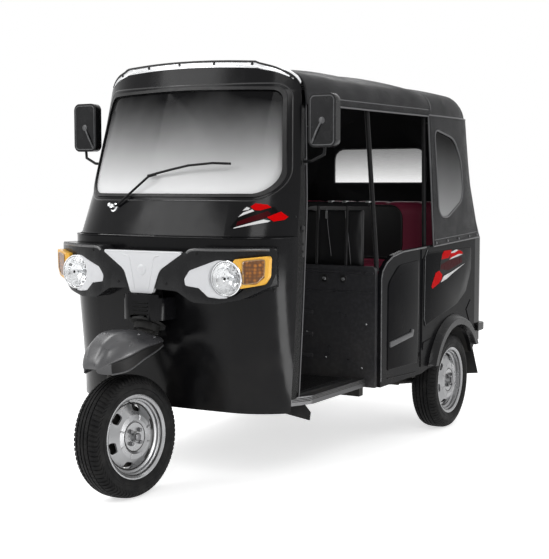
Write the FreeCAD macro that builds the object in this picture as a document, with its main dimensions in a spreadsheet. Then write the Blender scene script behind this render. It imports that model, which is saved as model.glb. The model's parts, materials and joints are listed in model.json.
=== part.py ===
import FreeCAD, Part

import math
import os
import re

import Sketcher
from FreeCAD import Placement, Rotation, Vector

# Three-wheeled auto rickshaw. Millimetres. X is the vehicle's left, Y runs rearward, Z is up.
# Sub-parts are drawn about a datum on the ground under the front hub; their Placement carries
# that datum to its place in the part's frame, whose origin is below the middle of the vehicle.

DIMENSIONS = {
    # running gear
    "front_axle_y": -1063.5, "wheelbase": 1920, "rear_track_half": 551,
    "wheel_radius": 245, "tyre_half_width": 66, "rim_radius": 168, "rim_bead_radius": 158,
    "rim_half_width": 58, "stub_radius": 15,
    # steering
    "rake": 25, "steer_rest": -6.6, "axis_y": 188, "axis_z": 750, "column_radius": 24,
    "leg_x": 104, "leg_radius": 16, "bar_radius": 12, "grip_radius": 17,
    "collar_top": 684, "collar_radius": 74, "head_radius": 34, "bar_height": 1006,
    # front pressings
    "sheet": 12, "pillar": 24, "screen_sill": 1205,
    "screen_head": 1632, "cab_depth_end": 560,
    # chassis rails
    "rail_in": 280, "rail_out": 318, "rail_low": 298, "rail_top": 352, "rail_wall": 4,
    # cab floor and bulkhead
    "floor_top": 372, "floor_sheet": 14,
    "bulkhead_y": 1030, "bulkhead_sheet": 24, "bulkhead_half": 604, "bulkhead_top": 880,
    # tub
    "side_out": 620, "side_sheet": 20, "tub_bottom": 335, "side_front": 1056, "tub_rear": 2345, "corner_start": 2214,
    "quarter_top": 950, "passenger_floor": 420, "bench_front": 1600, "deck_top": 720,
    "arch_radius": 288, "flare_out": 34, "tub_rear_bottom": 415,
    # hood
    "canvas": 8, "opening_top": 1575,
    "hood_hem": 944, "c_post_y": 1632, "tube_radius": 11,
    # lamps
    "lamp_x": 378, "lamp_y": 161, "lamp_z": 878, "lamp_radius": 71,
    # number plate holes in the tail
    "plate_hole_radius": 3.5, "plate_hole_spacing": 160, "lid_axis_z": 803,
    # mirrors
    "mirror_x": 611, "mirror_y": 531, "mirror_z": 1502, "mirror_w": 126, "mirror_h": 216,
}

document = FreeCAD.newDocument("rickshaw")
sheet = document.addObject("Spreadsheet::Sheet", "dims")
for row, (alias, number) in enumerate(DIMENSIONS.items(), start=1):
    sheet.set(f"A{row}", alias)
    sheet.set(f"B{row}", str(number))
    sheet.setAlias(f"B{row}", alias)
document.recompute()

SUB_PARTS = []
AXES = {"X": Vector(1, 0, 0), "Y": Vector(0, 1, 0), "Z": Vector(0, 0, 1)}


def dim(expression):
    """The number that an expression of sheet aliases gives."""
    return float(sheet.evalExpression(str(expression)))


def bound(expression):
    """The same expression as a document object has to write it."""
    return re.sub(r"\b([a-z][a-z_]+)\b(?!\()", r"dims.\1", str(expression))


def keep(sub_part, name):
    """Labels a sub-part and lists it for export."""
    sub_part.Label = name
    SUB_PARTS.append(sub_part)
    return sub_part


def at_front_axle(sub_part):
    """Places a sub-part drawn about the ground datum under the front hub."""
    sub_part.setExpression("Placement.Base.y", bound("front_axle_y"))
    return sub_part


def shape_of(name):
    """A sub-part's shape about the datum, for the neighbours that make room for it."""
    source = next(item for item in SUB_PARTS if item.Label == name)
    if source.Shape.isNull():
        document.recompute()
    shape = source.Shape.copy()
    shape.Placement = Placement()
    return shape


def feature(name, shape):
    """A sub-part whose shape is made directly, placed at the front-axle datum."""
    made = document.addObject("Part::Feature", name)
    made.Shape = shape
    keep(made, name)
    return at_front_axle(made)


# ---------------------------------------------------------------- sketches


def origin_plane(body, role):
    """One of a body's own origin planes, such as XY_Plane."""
    return next(item for item in body.Origin.OriginFeatures if item.Role == role)


def attach(body, role, offset):
    """An empty sketch on a body's origin plane, moved along the plane's normal by an expression."""
    sketch = body.newObject("Sketcher::SketchObject", "sketch")
    sketch.AttachmentSupport = [(origin_plane(body, role), "")]
    sketch.MapMode = "FlatFace"
    sketch.AttachmentOffset = Placement(Vector(0, 0, dim(offset)), Rotation())
    sketch.setExpression("AttachmentOffset.Base.z", bound(offset))
    return sketch


def corner_arc(before, corner, after, radius):
    """Where a rounded corner starts and ends, with its middle point."""
    back = (before - corner).normalize()
    ahead = (after - corner).normalize()
    half = math.acos(max(-1.0, min(1.0, back.dot(ahead)))) / 2
    reach = radius / math.tan(half)
    bisector = (back + ahead).normalize()
    centre = corner + bisector * (radius / math.sin(half))
    return corner + back * reach, centre - bisector * radius, corner + ahead * reach


def outline(body, role, corners, offset="0"):
    """A closed sketch through corners (x, y[, radius]), every number an expression."""
    sketch = attach(body, role, offset)
    points = [Vector(dim(corner[0]), dim(corner[1]), 0) for corner in corners]
    radii = [corner[2] if len(corner) > 2 else None for corner in corners]
    count = len(points)
    stops = []
    for i in range(count):
        if radii[i] is None:
            stops.append((points[i], None, points[i]))
        else:
            stops.append(corner_arc(points[i - 1], points[i], points[(i + 1) % count], dim(radii[i])))
    sides = [
        sketch.addGeometry(Part.LineSegment(stops[i][2], stops[(i + 1) % count][0]), False)
        for i in range(count)
    ]
    arcs = [sketch.addGeometry(Part.Arc(*stop), False) if stop[1] else None for stop in stops]
    for i in range(count):
        mark = sketch.addGeometry(Part.Point(points[i]), True)
        before, after = sides[i - 1], sides[i]
        if arcs[i] is None:
            sketch.addConstraint(Sketcher.Constraint("Coincident", before, 2, after, 1))
            sketch.addConstraint(Sketcher.Constraint("Coincident", mark, 1, after, 1))
        else:
            starts = sketch.Geometry[arcs[i]].StartPoint.distanceToPoint(stops[i][0]) < 1e-6
            first = 1 if starts else 2
            sketch.addConstraint(Sketcher.Constraint("Tangent", before, 2, arcs[i], first))
            sketch.addConstraint(Sketcher.Constraint("Tangent", arcs[i], 3 - first, after, 1))
            sketch.addConstraint(Sketcher.Constraint("PointOnObject", mark, 1, before))
            sketch.addConstraint(Sketcher.Constraint("PointOnObject", mark, 1, after))
            index = sketch.addConstraint(Sketcher.Constraint("Radius", arcs[i], dim(radii[i])))
            sketch.setExpression(f"Constraints[{index}]", bound(radii[i]))
        for kind, place in (("DistanceX", 0), ("DistanceY", 1)):
            value = dim(corners[i][place])
            index = sketch.addConstraint(Sketcher.Constraint(kind, -1, 1, mark, 1, value))
            sketch.setExpression(f"Constraints[{index}]", bound(corners[i][place]))
    return sketch


def pad(body, sketch, length, both_ways=False):
    """Pads a sketch along its plane's normal."""
    made = body.newObject("PartDesign::Pad", "pad")
    made.Profile = sketch
    made.Midplane = both_ways
    made.setExpression("Length", bound(length))
    return made


def pocket(body, sketch, both_ways=True):
    """Cuts a sketch's outline right through a body."""
    made = body.newObject("PartDesign::Pocket", "pocket")
    made.Profile = sketch
    made.Type = "ThroughAll"
    made.Midplane = both_ways
    return made


def panel(name, role, corners, start, thickness, both_ways=False):
    """A flat sub-part: one outline padded from a start height along its plane's normal."""
    body = document.addObject("PartDesign::Body", name)
    sketch = outline(body, role, corners, start)
    pad(body, sketch, thickness, both_ways)
    keep(body, name)
    at_front_axle(body)
    return body


def revolved(name, corners, angle=360):
    """A sub-part turned about its own X axis; each corner is (x, radius[, fillet])."""
    body = document.addObject("PartDesign::Body", name)
    sketch = outline(body, "XY_Plane", corners)
    turn = body.newObject("PartDesign::Revolution", "turned")
    turn.Profile = sketch
    turn.ReferenceAxis = (sketch, ["H_Axis"])
    turn.Angle = angle
    keep(body, name)
    return body


# ---------------------------------------------------------------- direct shapes


def rod(start, end, radius):
    """A round bar between two points."""
    run = Vector(*end) - Vector(*start)
    return Part.makeCylinder(radius, run.Length, Vector(*start), run)


def bent_rod(points, radius):
    """Round bars through points, with a ball at each bend."""
    solid = rod(points[0], points[1], radius)
    for start, end in zip(points[1:], points[2:]):
        solid = solid.fuse([Part.makeSphere(radius, Vector(*start)), rod(start, end, radius)])
    return solid.removeSplitter()


def brick(x_span, y_span, z_span):
    """A box from its spans along X, Y and Z."""
    size = [span[1] - span[0] for span in (x_span, y_span, z_span)]
    return Part.makeBox(*size, Vector(x_span[0], y_span[0], z_span[0]))


def mirrored(shape):
    """A shape on the other side of the vehicle's middle plane."""
    return shape.mirror(Vector(0, 0, 0), Vector(1, 0, 0))


def both_sides(shape):
    """A shape and its mirror image."""
    return Part.makeCompound([shape, mirrored(shape)])


def prism(axis, points, low, high):
    """A solid with a polygon outline in the plane across an axis, between two heights on it."""
    order = {"X": lambda a, b: Vector(low, a, b), "Y": lambda a, b: Vector(a, low, b),
             "Z": lambda a, b: Vector(a, b, low)}[axis]
    corners = [order(a, b) for a, b in points]
    wire = Part.makePolygon(corners + corners[:1])
    return Part.Face(wire).extrude(AXES[axis] * (high - low))


def rounded_prism(axis, points, low, high):
    """As prism, with each corner (a, b, radius) rounded by an arc where its radius isn't 0."""
    order = {"X": lambda p: Vector(low, p.x, p.y), "Y": lambda p: Vector(p.x, low, p.y),
             "Z": lambda p: Vector(p.x, p.y, low)}[axis]
    flat = [Vector(a, b, 0) for a, b, _ in points]
    count = len(flat)
    stops = [
        corner_arc(flat[i - 1], flat[i], flat[(i + 1) % count], points[i][2])
        if points[i][2] else (flat[i], None, flat[i])
        for i in range(count)
    ]
    edges = []
    for i, (first, middle, last) in enumerate(stops):
        if middle:
            edges.append(Part.Arc(order(first), order(middle), order(last)).toShape())
        following = stops[(i + 1) % count][0]
        if last.distanceToPoint(following) > 1e-6:
            edges.append(Part.LineSegment(order(last), order(following)).toShape())
    return Part.Face(Part.Wire(edges)).extrude(AXES[axis] * (high - low))


# ---------------------------------------------------------------- front pressings

# Plan sections of the front pressings. Columns: height, depth of the middle, corner start x and y,
# door edge x and y. The middle bows forward, then a round corner runs back to the door edge.
APRON_SECTIONS = (
    (320, 272, 320, 286, 532, 400),
    (600, 232, 320, 247, 540, 416),
    (820, 202, 320, 219, 546, 424),
    (1035, 196, 320, 214, 550, 430),
)
SCREEN_SECTIONS = (
    (1035, 214, 315, 238, 548, 438),
    (1205, 276, 305, 306, 532, 478),
    (1632, 416, 285, 444, 496, 556),
    (1790, 440, 280, 470, 488, 580),
)


def tangent_arc(start, heading, end):
    """An arc that leaves a plan point along a heading and reaches another point."""
    chord = end - start
    normal = Vector(-heading.y, heading.x, 0)
    radius = chord.dot(chord) / (2 * chord.dot(normal))
    centre = start + normal * radius
    middle_way = (start - centre) + (end - centre)
    return Part.Arc(start, centre + middle_way.normalize() * abs(radius), end)


def front_section(height, nose, corner_x, corner_y, edge_x, edge_y, inset=0.0):
    """One closed plan section: bowed front, round corners, straight across the back."""
    nose_point = Vector(0, nose + inset, height)
    corner = Vector(corner_x - inset / 3, corner_y + inset, height)
    edge = Vector(edge_x - inset, edge_y + 2, height)
    left = Vector(-corner.x, corner.y, height)
    left_edge = Vector(-edge.x, edge.y, height)
    bow = Part.Arc(left, nose_point, corner)
    rise = corner_y - nose
    lean = 2 * math.atan2(rise, corner_x)
    heading = Vector(math.cos(lean), math.sin(lean), 0)
    right_corner = tangent_arc(corner, heading, edge)
    mirror_heading = Vector(-heading.x, heading.y, 0)
    left_corner = tangent_arc_left(left, mirror_heading, left_edge)
    back = dim("cab_depth_end") + 60
    back_right = Vector(edge.x, back, height)
    back_left = Vector(-edge.x, back, height)
    edges = [
        bow.toShape(), right_corner.toShape(),
        Part.LineSegment(edge, back_right).toShape(),
        Part.LineSegment(back_right, back_left).toShape(),
        Part.LineSegment(back_left, left_edge).toShape(),
        left_corner.toShape(),
    ]
    return Part.Wire(Part.sortEdges(edges)[0])


def tangent_arc_left(start, heading, end):
    """The mirror image of tangent_arc, for the vehicle's right side."""
    arc = tangent_arc(Vector(-start.x, start.y, start.z), Vector(-heading.x, heading.y, 0),
                      Vector(-end.x, end.y, end.z))
    middle = arc.value((arc.FirstParameter + arc.LastParameter) / 2)
    return Part.Arc(start, Vector(-middle.x, middle.y, middle.z), end)


def front_solid(sections, inset=0.0):
    """The full solid between plan sections, drawn in by an inset."""
    wires = [front_section(*section, inset=inset) for section in sections]
    return Part.makeLoft(wires, True, True)


def door_cut():
    """What lies behind the door edges of both front pressings."""
    edges = [(section[5], section[0]) for section in (APRON_SECTIONS + SCREEN_SECTIONS[1:])]
    low, high = edges[0], edges[-1]
    points = [(low[0], low[1] - 50)] + edges + [(high[0], high[1] + 200), (1500, high[1] + 200),
                                               (1500, low[1] - 50)]
    return prism("X", points, -900, 900)


def hollow_pressing(sections, thickness):
    """A front pressing as a wall of even thickness, open behind."""
    outer = front_solid(sections)
    low, high = sections[0], sections[-1]
    stretched = ((low[0] - 5,) + low[1:],) + tuple(sections[1:-1]) + ((high[0] + 5,) + high[1:],)
    inner = front_solid(stretched, inset=thickness)
    return outer.cut(inner).cut(door_cut())


def apron():
    """Lower front pressing, from the bottom edge to the belt, with the steering passage."""
    shell = hollow_pressing(APRON_SECTIONS, dim("sheet"))
    passage = along_axis(dim("axis_z - 200"), 1200, dim("column_radius + 16"))
    return feature("apron", shell.cut([passage, collar_room()]))


def collar_room():
    """The space that the fork's collar turns in."""
    return along_axis(dim("collar_top - 46"), dim("collar_top + 6"), dim("collar_radius + 8"))


def screen_opening(inset, reach):
    """The windscreen's outline run fore and aft: rounded trapezium, seen from the front."""
    sill, head = dim("screen_sill"), dim("screen_head")
    points = [
        (-490 + inset, sill + inset, 95), (490 - inset, sill + inset, 95),
        (438 - inset, head - inset, 42), (0, head + 10 - inset, 6000), (-438 + inset, head - inset, 42),
    ]
    return rounded_prism("Y", points, reach[0], reach[1])


def header_crown(grow):
    """The space under the header's crowned top, raised by a distance."""
    return Part.makeLoft([roof_section(place, 492, 600, 1730, 1622, 95, -grow) for place in (200, 800)], True)


def screen_frame():
    """Upper front pressing: belt panel, pillars and crowned head round the windscreen opening."""
    shell = hollow_pressing(SCREEN_SECTIONS, dim("pillar")).common(header_crown(0))
    return feature("screen_frame", shell.cut(screen_opening(-10, (0, 700))))


def windscreen():
    """Curved laminated glass, set in the gasket's groove."""
    outer = front_solid(SCREEN_SECTIONS, inset=7)
    inner = front_solid(SCREEN_SECTIONS, inset=13)
    glass = outer.cut(inner).common(screen_opening(3, (0, 600)))
    return feature("windscreen", front_solids_only(glass))


def front_solids_only(shape):
    """Keeps the solid that lies furthest forward."""
    solids = sorted(shape.Solids, key=lambda solid: solid.BoundBox.YMin)
    return solids[0]


def windscreen_gasket():
    """Rubber section round the glass, standing a little proud of the pressing."""
    outer = front_solid(SCREEN_SECTIONS, inset=-5)
    inner = front_solid(SCREEN_SECTIONS, inset=dim("pillar"))
    band = screen_opening(-10, (0, 700)).cut(screen_opening(2.5, (-10, 710)))
    return feature("windscreen_gasket", front_solids_only(outer.cut(inner).common(band)))


# ---------------------------------------------------------------- steering geometry


def steering_direction():
    """Unit vector up the steering axis."""
    lean = math.radians(dim("rake"))
    return Vector(0, math.sin(lean), math.cos(lean))


def steering_point(height):
    """The steering axis at a height above the ground."""
    run = (height - dim("axis_z")) * math.tan(math.radians(dim("rake")))
    return Vector(0, dim("axis_y") + run, height)


def steered(sub_part, local=None):
    """Places a sub-part that turns with the handlebar, at its rest angle."""
    pivot = steering_point(dim("axis_z"))
    turn = Placement(Vector(0, 0, 0), Rotation(steering_direction(), dim("steer_rest")), pivot)
    datum = Placement(Vector(0, dim("front_axle_y"), 0), Rotation())
    sub_part.setExpression("Placement.Base.y", None)
    sub_part.Placement = datum * turn * (local or Placement())
    return sub_part


# ---------------------------------------------------------------- front details


def header_strip():
    """Bright strip riveted along the top edge of the screen frame."""
    sections = ((1560, 430, 280, 460, 489, 562), (1800, 430, 280, 460, 489, 562))
    band = front_solid(sections, inset=-2).cut(front_solid(sections, inset=18)).cut(door_cut())
    return feature("header_strip", band.common(header_crown(6).cut(header_crown(0.2))))


def fascia_front(inset=0.0):
    """The curved front that the mask, the insert and the lamps follow."""
    section = (116, 210, 124, 540, 268)
    return front_solid(((750, *section), (1040, *section)), inset=inset)


def mirrored_points(points):
    """A right-hand outline (x, z, radius) from top to bottom, closed on the left."""
    return list(points) + [(-x, z, radius) for x, z, radius in reversed(points)]


def apron_block():
    """The space behind the apron's outer face."""
    return front_solid(APRON_SECTIONS, inset=-0.5)


def front_fascia():
    """Dark mask across the front, hollow in the middle where the steering column passes."""
    right = [(205, 976, 12), (232, 996, 40), (545, 998, 26), (541, 900, 14), (524, 846, 30),
             (432, 796, 60), (335, 776, 50), (240, 780, 50), (168, 822, 40), (54, 828, 8)]
    mask = rounded_prism("Y", mirrored_points(right), 60, 480)
    end = prism("Z", [(542, 266), (800, 266), (800, 700), (440, 700), (440, 500), (500, 366)], 600, 1200)
    body = mask.common(fascia_front()).cut([apron_block(), end, mirrored(end)])
    column_space = brick((-58, 58), (136, 480), (700, 960))
    insert_bed = rounded_prism("Y", mirrored_points(INSERT_OUTLINE), 60, 136)
    lamp = Part.makeCylinder(dim("lamp_radius + 2"), 60, lamp_centre(-20), AXES["Y"])
    tools = [column_space, insert_bed]
    for side in (lamp, bezel_block(1.5), indicator_block(1.5)):
        tools += [side, mirrored(side)]
    return feature("front_fascia", body.cut(tools))


INSERT_OUTLINE = [(206, 979, 6), (88, 902, 60), (54, 808, 12)]


def lamp_centre(ahead):
    """A headlamp's middle, moved rearward by a distance."""
    return Vector(dim("lamp_x"), dim("lamp_y") + ahead, dim("lamp_z"))


def bezel_block(gap=0.0):
    """Pointed space beside a headlamp, in the mask."""
    points = [(203 - gap, 872 + gap, 12), (226, 906 + gap, 20), (340, 949 + gap, 40), (380, 950, 0),
              (380, 800, 0), (350, 798 - gap, 14), (304, 804 - gap, 14), (266, 838 - gap, 14),
              (207 - gap, 846 - gap, 10)]
    return rounded_prism("Y", points, 60, 200 + gap)


def indicator_block(gap=0.0):
    """Space of an indicator outboard of its headlamp."""
    points = [(400, 910, 0), (414, 954 + gap, 14), (536 + gap, 968 + gap, 12),
              (531 + gap, 886, 16), (508, 854 - gap, 18), (428, 838 - gap, 10), (400, 870, 0)]
    return rounded_prism("Y", points, 60, 246 + gap)


def fascia_insert():
    """Silver centre panel and the two silver bezels beside the headlamps."""
    centre = rounded_prism("Y", mirrored_points(INSERT_OUTLINE), 60, 134)
    centre = centre.common(fascia_front(inset=-3)).cut(fascia_front(inset=14))
    lamp = Part.makeCylinder(dim("lamp_radius + 1"), 90, lamp_centre(-50), AXES["Y"])
    bezel = bezel_block().common(fascia_front(inset=2)).cut(lamp)
    bezel = bezel.cut(brick((378, 700), (0, 500), (700, 1100)))
    return feature("fascia_insert", Part.makeCompound([centre, bezel, mirrored(bezel)]))


def headlamps():
    """Round lamps: a domed lens on a drum, both sides."""
    radius = dim("lamp_radius")
    drum = Part.makeCylinder(radius, 36, lamp_centre(2), AXES["Y"])
    dome_radius = 170.0
    dome = Part.makeSphere(dome_radius, lamp_centre(2 + math.sqrt(dome_radius**2 - radius**2)))
    dome = dome.common(Part.makeCylinder(radius, 60, lamp_centre(-40), AXES["Y"]))
    return feature("headlamps", both_sides(drum.fuse(dome).removeSplitter()))


def indicators():
    """Amber lamps outboard of the headlamps, following the mask."""
    lamp = Part.makeCylinder(dim("lamp_radius + 1"), 200, lamp_centre(-100), AXES["Y"])
    front = prism("Z", [(390, 156), (436, 162), (544, 232), (544, 300), (390, 300)], 800, 1000)
    amber = indicator_block().common(front).cut([lamp, apron_block()])
    return feature("indicators", both_sides(amber))


def nose_cowl():
    """Hollow cover of the steering head, standing ahead of the apron."""
    outer = rounded_prism("Z", [(-101, 420, 0), (-101, 94, 56), (101, 94, 56), (101, 420, 0)], 700, 804)
    inner = rounded_prism("Z", [(-95, 440, 0), (-95, 100, 50), (95, 100, 50), (95, 440, 0)], 690, 798)
    head_room = along_axis(640, 900, dim("head_radius + 2"))
    return feature("nose_cowl", outer.cut([inner, apron_block(), fascia_space(), head_room, collar_room()]))


def fascia_space():
    """What the mask takes up behind its front, drawn out a little."""
    return fascia_front(inset=-5).common(brick((-300, 300), (0, 600), (790, 1100)))


# ---------------------------------------------------------------- steering


def along_axis(low, high, radius):
    """A cylinder round the steering axis between two heights."""
    start, end = steering_point(low), steering_point(high)
    return rod(start, end, radius)


# Route of one side of the handlebar from the column's head. Columns: outward, rearward, upward.
BAR_ROUTE = ((0, 8, 0), (60, 40, 22), (130, 100, 30), (175, 135, 24))
GRIP_END = (235, 200, 4)


def handlebar():
    """Steering column up through the cowl, with the swept bar and its grips."""
    column = along_axis(dim("collar_top + 0.5"), dim("bar_height + 9"), dim("column_radius"))
    head = steering_point(dim("bar_height"))
    bar = []
    for side in (-1, 1):
        route = [(side * out, head.y + back, head.z + up) for out, back, up in BAR_ROUTE]
        out, back, up = GRIP_END
        bar.append(bent_rod(route, dim("bar_radius")))
        bar.append(rod(route[-1], (side * out, head.y + back, head.z + up), dim("grip_radius")))
    binnacle = rounded_prism("X", [(head.y - 8, head.z + 6, 10), (head.y + 62, head.z - 4, 10),
                                   (head.y + 56, head.z + 62, 16), (head.y + 6, head.z + 56, 16)],
                             -42, 42)
    whole = column.fuse(bar + [binnacle]).removeSplitter()
    return steered(feature("handlebar", whole))


def front_fork():
    """One-sided front suspension: crown, leg, trailing link, damper and stub axle."""
    crown_low, crown_high = steering_point(548), steering_point(655)
    neck = along_axis(570, 660, 36)
    top, width = dim("collar_top"), dim("collar_radius")
    collar = along_axis(top - 8, top, width).fuse(along_axis(top - 34, top - 4, width - 22))
    leg_x, radius = -dim("leg_x"), dim("leg_radius")
    top = (leg_x, crown_low.y, crown_low.z)
    knee = (leg_x, -58, 330)
    crown_bar = rod((0, crown_low.y, crown_low.z + 6), top, 22)
    leg = bent_rod([top, knee], radius + 2)
    link = bent_rod([knee, (leg_x, 0, dim("wheel_radius"))], 20)
    knuckle = rod((leg_x - 22, 0, dim("wheel_radius")), (-72, 0, dim("wheel_radius")), 30)
    stub = rod((-80, 0, dim("wheel_radius")), (52, 0, dim("wheel_radius")), dim("stub_radius"))
    damper = bent_rod([(leg_x - 34, crown_low.y + 6, 552), (leg_x - 34, 14, 268)], 19)
    pins = [rod((leg_x - 34, 14, 268), (leg_x, 14, 262), 9),
            rod((leg_x - 34, crown_low.y + 6, 548), (leg_x, crown_low.y, 548), 10)]
    stem = rod(crown_low, crown_high, 30)
    whole = neck.fuse([collar, crown_bar, leg, link, knuckle, stub, damper, stem] + pins)
    return steered(feature("front_fork", whole.removeSplitter()))


# Cross sections of the front mudguard. Columns: place along the vehicle, half width, lower edge,
# crown height. Each is an inverted tub with a rounded top.
MUDGUARD_SECTIONS = (
    (-178, 26, 524, 552), (-162, 54, 516, 592), (-128, 80, 513, 638), (-64, 102, 522, 668),
    (20, 108, 556, 668), (100, 100, 578, 652), (160, 78, 592, 634),
)


def mudguard_section(place, half, low, top, inset=0.0):
    """One closed section across the mudguard."""
    half, top = half - inset, top - inset
    low = low - 3 * inset
    spring = low + 0.45 * (top - low)
    left, right = Vector(-half, place, spring), Vector(half, place, spring)
    shoulder = Vector(half * 0.74, place, low + 0.86 * (top - low))
    far_shoulder = Vector(-shoulder.x, place, shoulder.z)
    edges = [
        Part.LineSegment(Vector(-half * 0.94, place, low), Vector(half * 0.94, place, low)),
        Part.LineSegment(Vector(half * 0.94, place, low), right),
        Part.Arc(right, Vector(half * 0.93, place, low + 0.68 * (top - low)), shoulder),
        Part.Arc(shoulder, Vector(0, place, top), far_shoulder),
        Part.Arc(far_shoulder, Vector(-half * 0.93, place, low + 0.68 * (top - low)), left),
        Part.LineSegment(left, Vector(-half * 0.94, place, low)),
    ]
    return Part.Wire([edge.toShape() for edge in edges])


def front_mudguard():
    """Nose fairing over the front wheel, bolted to the fork's crown."""
    outer = Part.makeLoft([mudguard_section(*s) for s in MUDGUARD_SECTIONS], True, True)
    inner_sections = MUDGUARD_SECTIONS[1:-1]
    first, last = inner_sections[0], inner_sections[-1]
    ends = [(first[0] + 4, *first[1:])] + list(inner_sections[1:-1]) + [(last[0] + 50, *last[1:])]
    inner = Part.makeLoft([mudguard_section(*s, inset=6) for s in ends], True, True)
    shell = outer.cut(inner).cut(along_axis(520, 760, 54))
    return steered(feature("front_mudguard", largest(shell)))


def largest(shape):
    """The biggest solid of a shape."""
    return max(shape.Solids, key=lambda solid: solid.Volume)


# ---------------------------------------------------------------- wheels


def tyre(name):
    """Tyre section turned about the axle."""
    half = [  # axial place, radius and fillet of the outboard half, from the bead to the crown
        ("tyre_half_width - 18", "rim_bead_radius + 1"), ("tyre_half_width - 8", "rim_radius + 2"),
        ("tyre_half_width - 3", "rim_bead_radius + 24", "8"),
        ("tyre_half_width", "rim_bead_radius + 48", "14"), ("tyre_half_width - 5", "wheel_radius - 20", "8"),
        ("tyre_half_width - 18", "wheel_radius - 7"), ("tyre_half_width - 38", "wheel_radius - 1"),
    ]
    other = [("-(" + corner[0] + ")", *corner[1:]) for corner in half]
    return revolved(name, other[:1] + half + other[:0:-1])



def disc_wheel(name, outward):
    """Pressed steel wheel with its brake drum: stepped rim, holed disc and hub."""
    radius, bead = dim("rim_radius"), dim("rim_bead_radius")
    half, bore = dim("rim_half_width"), dim("stub_radius + 0.5")
    stations = [  # axial place and radius round the section of rim, disc and drum
        (half, radius), (half, radius - 5), (half - 5, bead - 3), (half - 15, bead - 5),
        (half - 18, bead - 12), (half - 28, bead - 14), (half - 31, bead - 22), (half - 36, bead - 25),
        (half - 8, 88), (half - 5, 68), (half - 12, 58), (half - 12, 22), (half + 2, 19),
        (half + 2, bore), (-50, bore), (-50, 40), (-44, 96), (-6, 102), (-2, 92), (2, 60), (40, 60),
        (47, 70), (44, 84), (half - 43, bead - 28), (-half + 10, bead - 14), (-half, radius - 6),
        (-half, radius), (-half + 9, bead), (half - 9, bead),
    ]
    wire = Part.makePolygon([Vector(outward * x, r, 0) for x, r in stations + stations[:1]])
    solid = Part.Face(wire).revolve(Vector(0, 0, 0), AXES["X"], 360)
    holes = []
    for k in range(6):
        window = rounded_prism("X", [(-20, 101, 9), (20, 101, 9), (27, 127, 10), (-27, 127, 10)],
                               0.0, 90.0)
        window.rotate(Vector(0, 0, 0), AXES["X"], 60 * k + 45)
        if outward < 0:
            window = mirrored(window)
        holes.append(window)
    made = document.addObject("Part::Feature", name)
    made.Shape = solid.cut(holes)
    return keep(made, name)


def rear_wheels():
    """Both rear wheels at the ends of the rear track."""
    for name, side in (("left", 1), ("right", -1)):
        for item in (tyre(f"rear_tyre_{name}"), disc_wheel(f"rear_rim_{name}", side)):
            item.setExpression("Placement.Base.x", bound(f"{side} * rear_track_half"))
            item.setExpression("Placement.Base.y", bound("front_axle_y + wheelbase"))
            item.setExpression("Placement.Base.z", bound("wheel_radius"))


def front_wheel():
    """Front wheel on the fork's stub axle, at the steering's rest angle."""
    hub = Placement(Vector(0, 0, dim("wheel_radius")), Rotation())
    for item in (tyre("front_tyre"), disc_wheel("front_rim", 1)):
        steered(item, hub)


# ---------------------------------------------------------------- underbody


def chassis():
    """Two long rails with cross members, and the steering head on its bracket."""
    near, far, low, top, wall = (dim(f"rail_{name}") for name in ("in", "out", "low", "top", "wall"))
    hollow = brick((near + wall, far - wall), (390, 2240), (low + wall, top - wall))
    feature("chassis_rails", both_sides(brick((near, far), (400, 2230), (low, top)).cut(hollow)))
    depth = (low + 2, top - 2)
    members = [brick((far, 552), (y, y + 40), depth) for y in (978, 1560)]
    ties = [brick((-near, near), (y, y + 40), depth) for y in (978, 1560, 2190)]
    feature("cross_members", Part.makeCompound(members + [mirrored(item) for item in members] + ties))
    low, high = dim("axis_z") - 36, dim("axis_z") + 130
    head = along_axis(low, high, dim("head_radius"))
    bracket = prism("X", [(236, 776), (268, 850), (320, 800), (440, 357), (400, 357), (290, 640)],
                    -16, 16)
    tie = brick((-near, near), (400, 440), depth).fuse(brick((-16, 16), (400, 440), (340, 357)))
    bore = along_axis(low - 60, high + 60, dim("column_radius + 0.5"))
    return feature("steering_head", head.fuse([bracket, tie]).cut(bore).removeSplitter())


def driver_floor():
    """Floor sheet of the driver's space."""
    points = [(-556, 1018, 0), (-556, 540, 40), (-506, 424, 20), (-492, 404, 0), (-290, 302, 0),
              (290, 302, 0), (492, 404, 0), (506, 424, 20), (556, 540, 40), (556, 1018, 0)]
    top = dim("floor_top")
    floor = rounded_prism("Z", points, top - dim("floor_sheet"), top)
    return feature("driver_floor", floor.cut(shape_of("steering_head")))


def sill_trims():
    """Bright edge strips of the driver's floor."""
    points = [(512, 438, 0), (561, 538, 40), (564, 1018, 0), (557, 1018, 0), (557, 540, 36),
              (508, 440, 0)]
    strip = rounded_prism("Z", points, 340, 376).cut(shape_of("driver_floor"))
    return feature("sill_trims", both_sides(largest(strip)))


def engine():
    """Engine and gearbox, as one block at their real place."""
    return panel("engine", "YZ_Plane", [
        ("1690", "262", "20"), ("2170", "250", "20"), ("2180", "600", "30"), ("1760", "610", "40"),
        ("1700", "420", "20"),
    ], "-230", "460")


def trailing_arms():
    """Rear arms from their pivots to the stub axles, with the half shafts."""
    hub_z, hub_y = dim("wheel_radius"), dim("wheelbase")
    inner = dim("rear_track_half") - 62
    pivot = rod((300, 1620, 272), (452, 1620, 272), 24)
    arm = rod((400, 1620, 272), (inner - 34, hub_y, hub_z), 26)
    stub = rod((inner - 62, hub_y, hub_z), (dim("rear_track_half") + 50, hub_y, hub_z),
               dim("stub_radius"))
    boss = rod((inner - 64, hub_y, hub_z), (inner + 4, hub_y, hub_z), 36)
    shaft = rod((238, hub_y + 20, hub_z + 28), (inner - 50, hub_y, hub_z), 14)
    solid = pivot.fuse([arm, stub, boss, shaft]).removeSplitter()
    return feature("trailing_arms", both_sides(solid))


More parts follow.
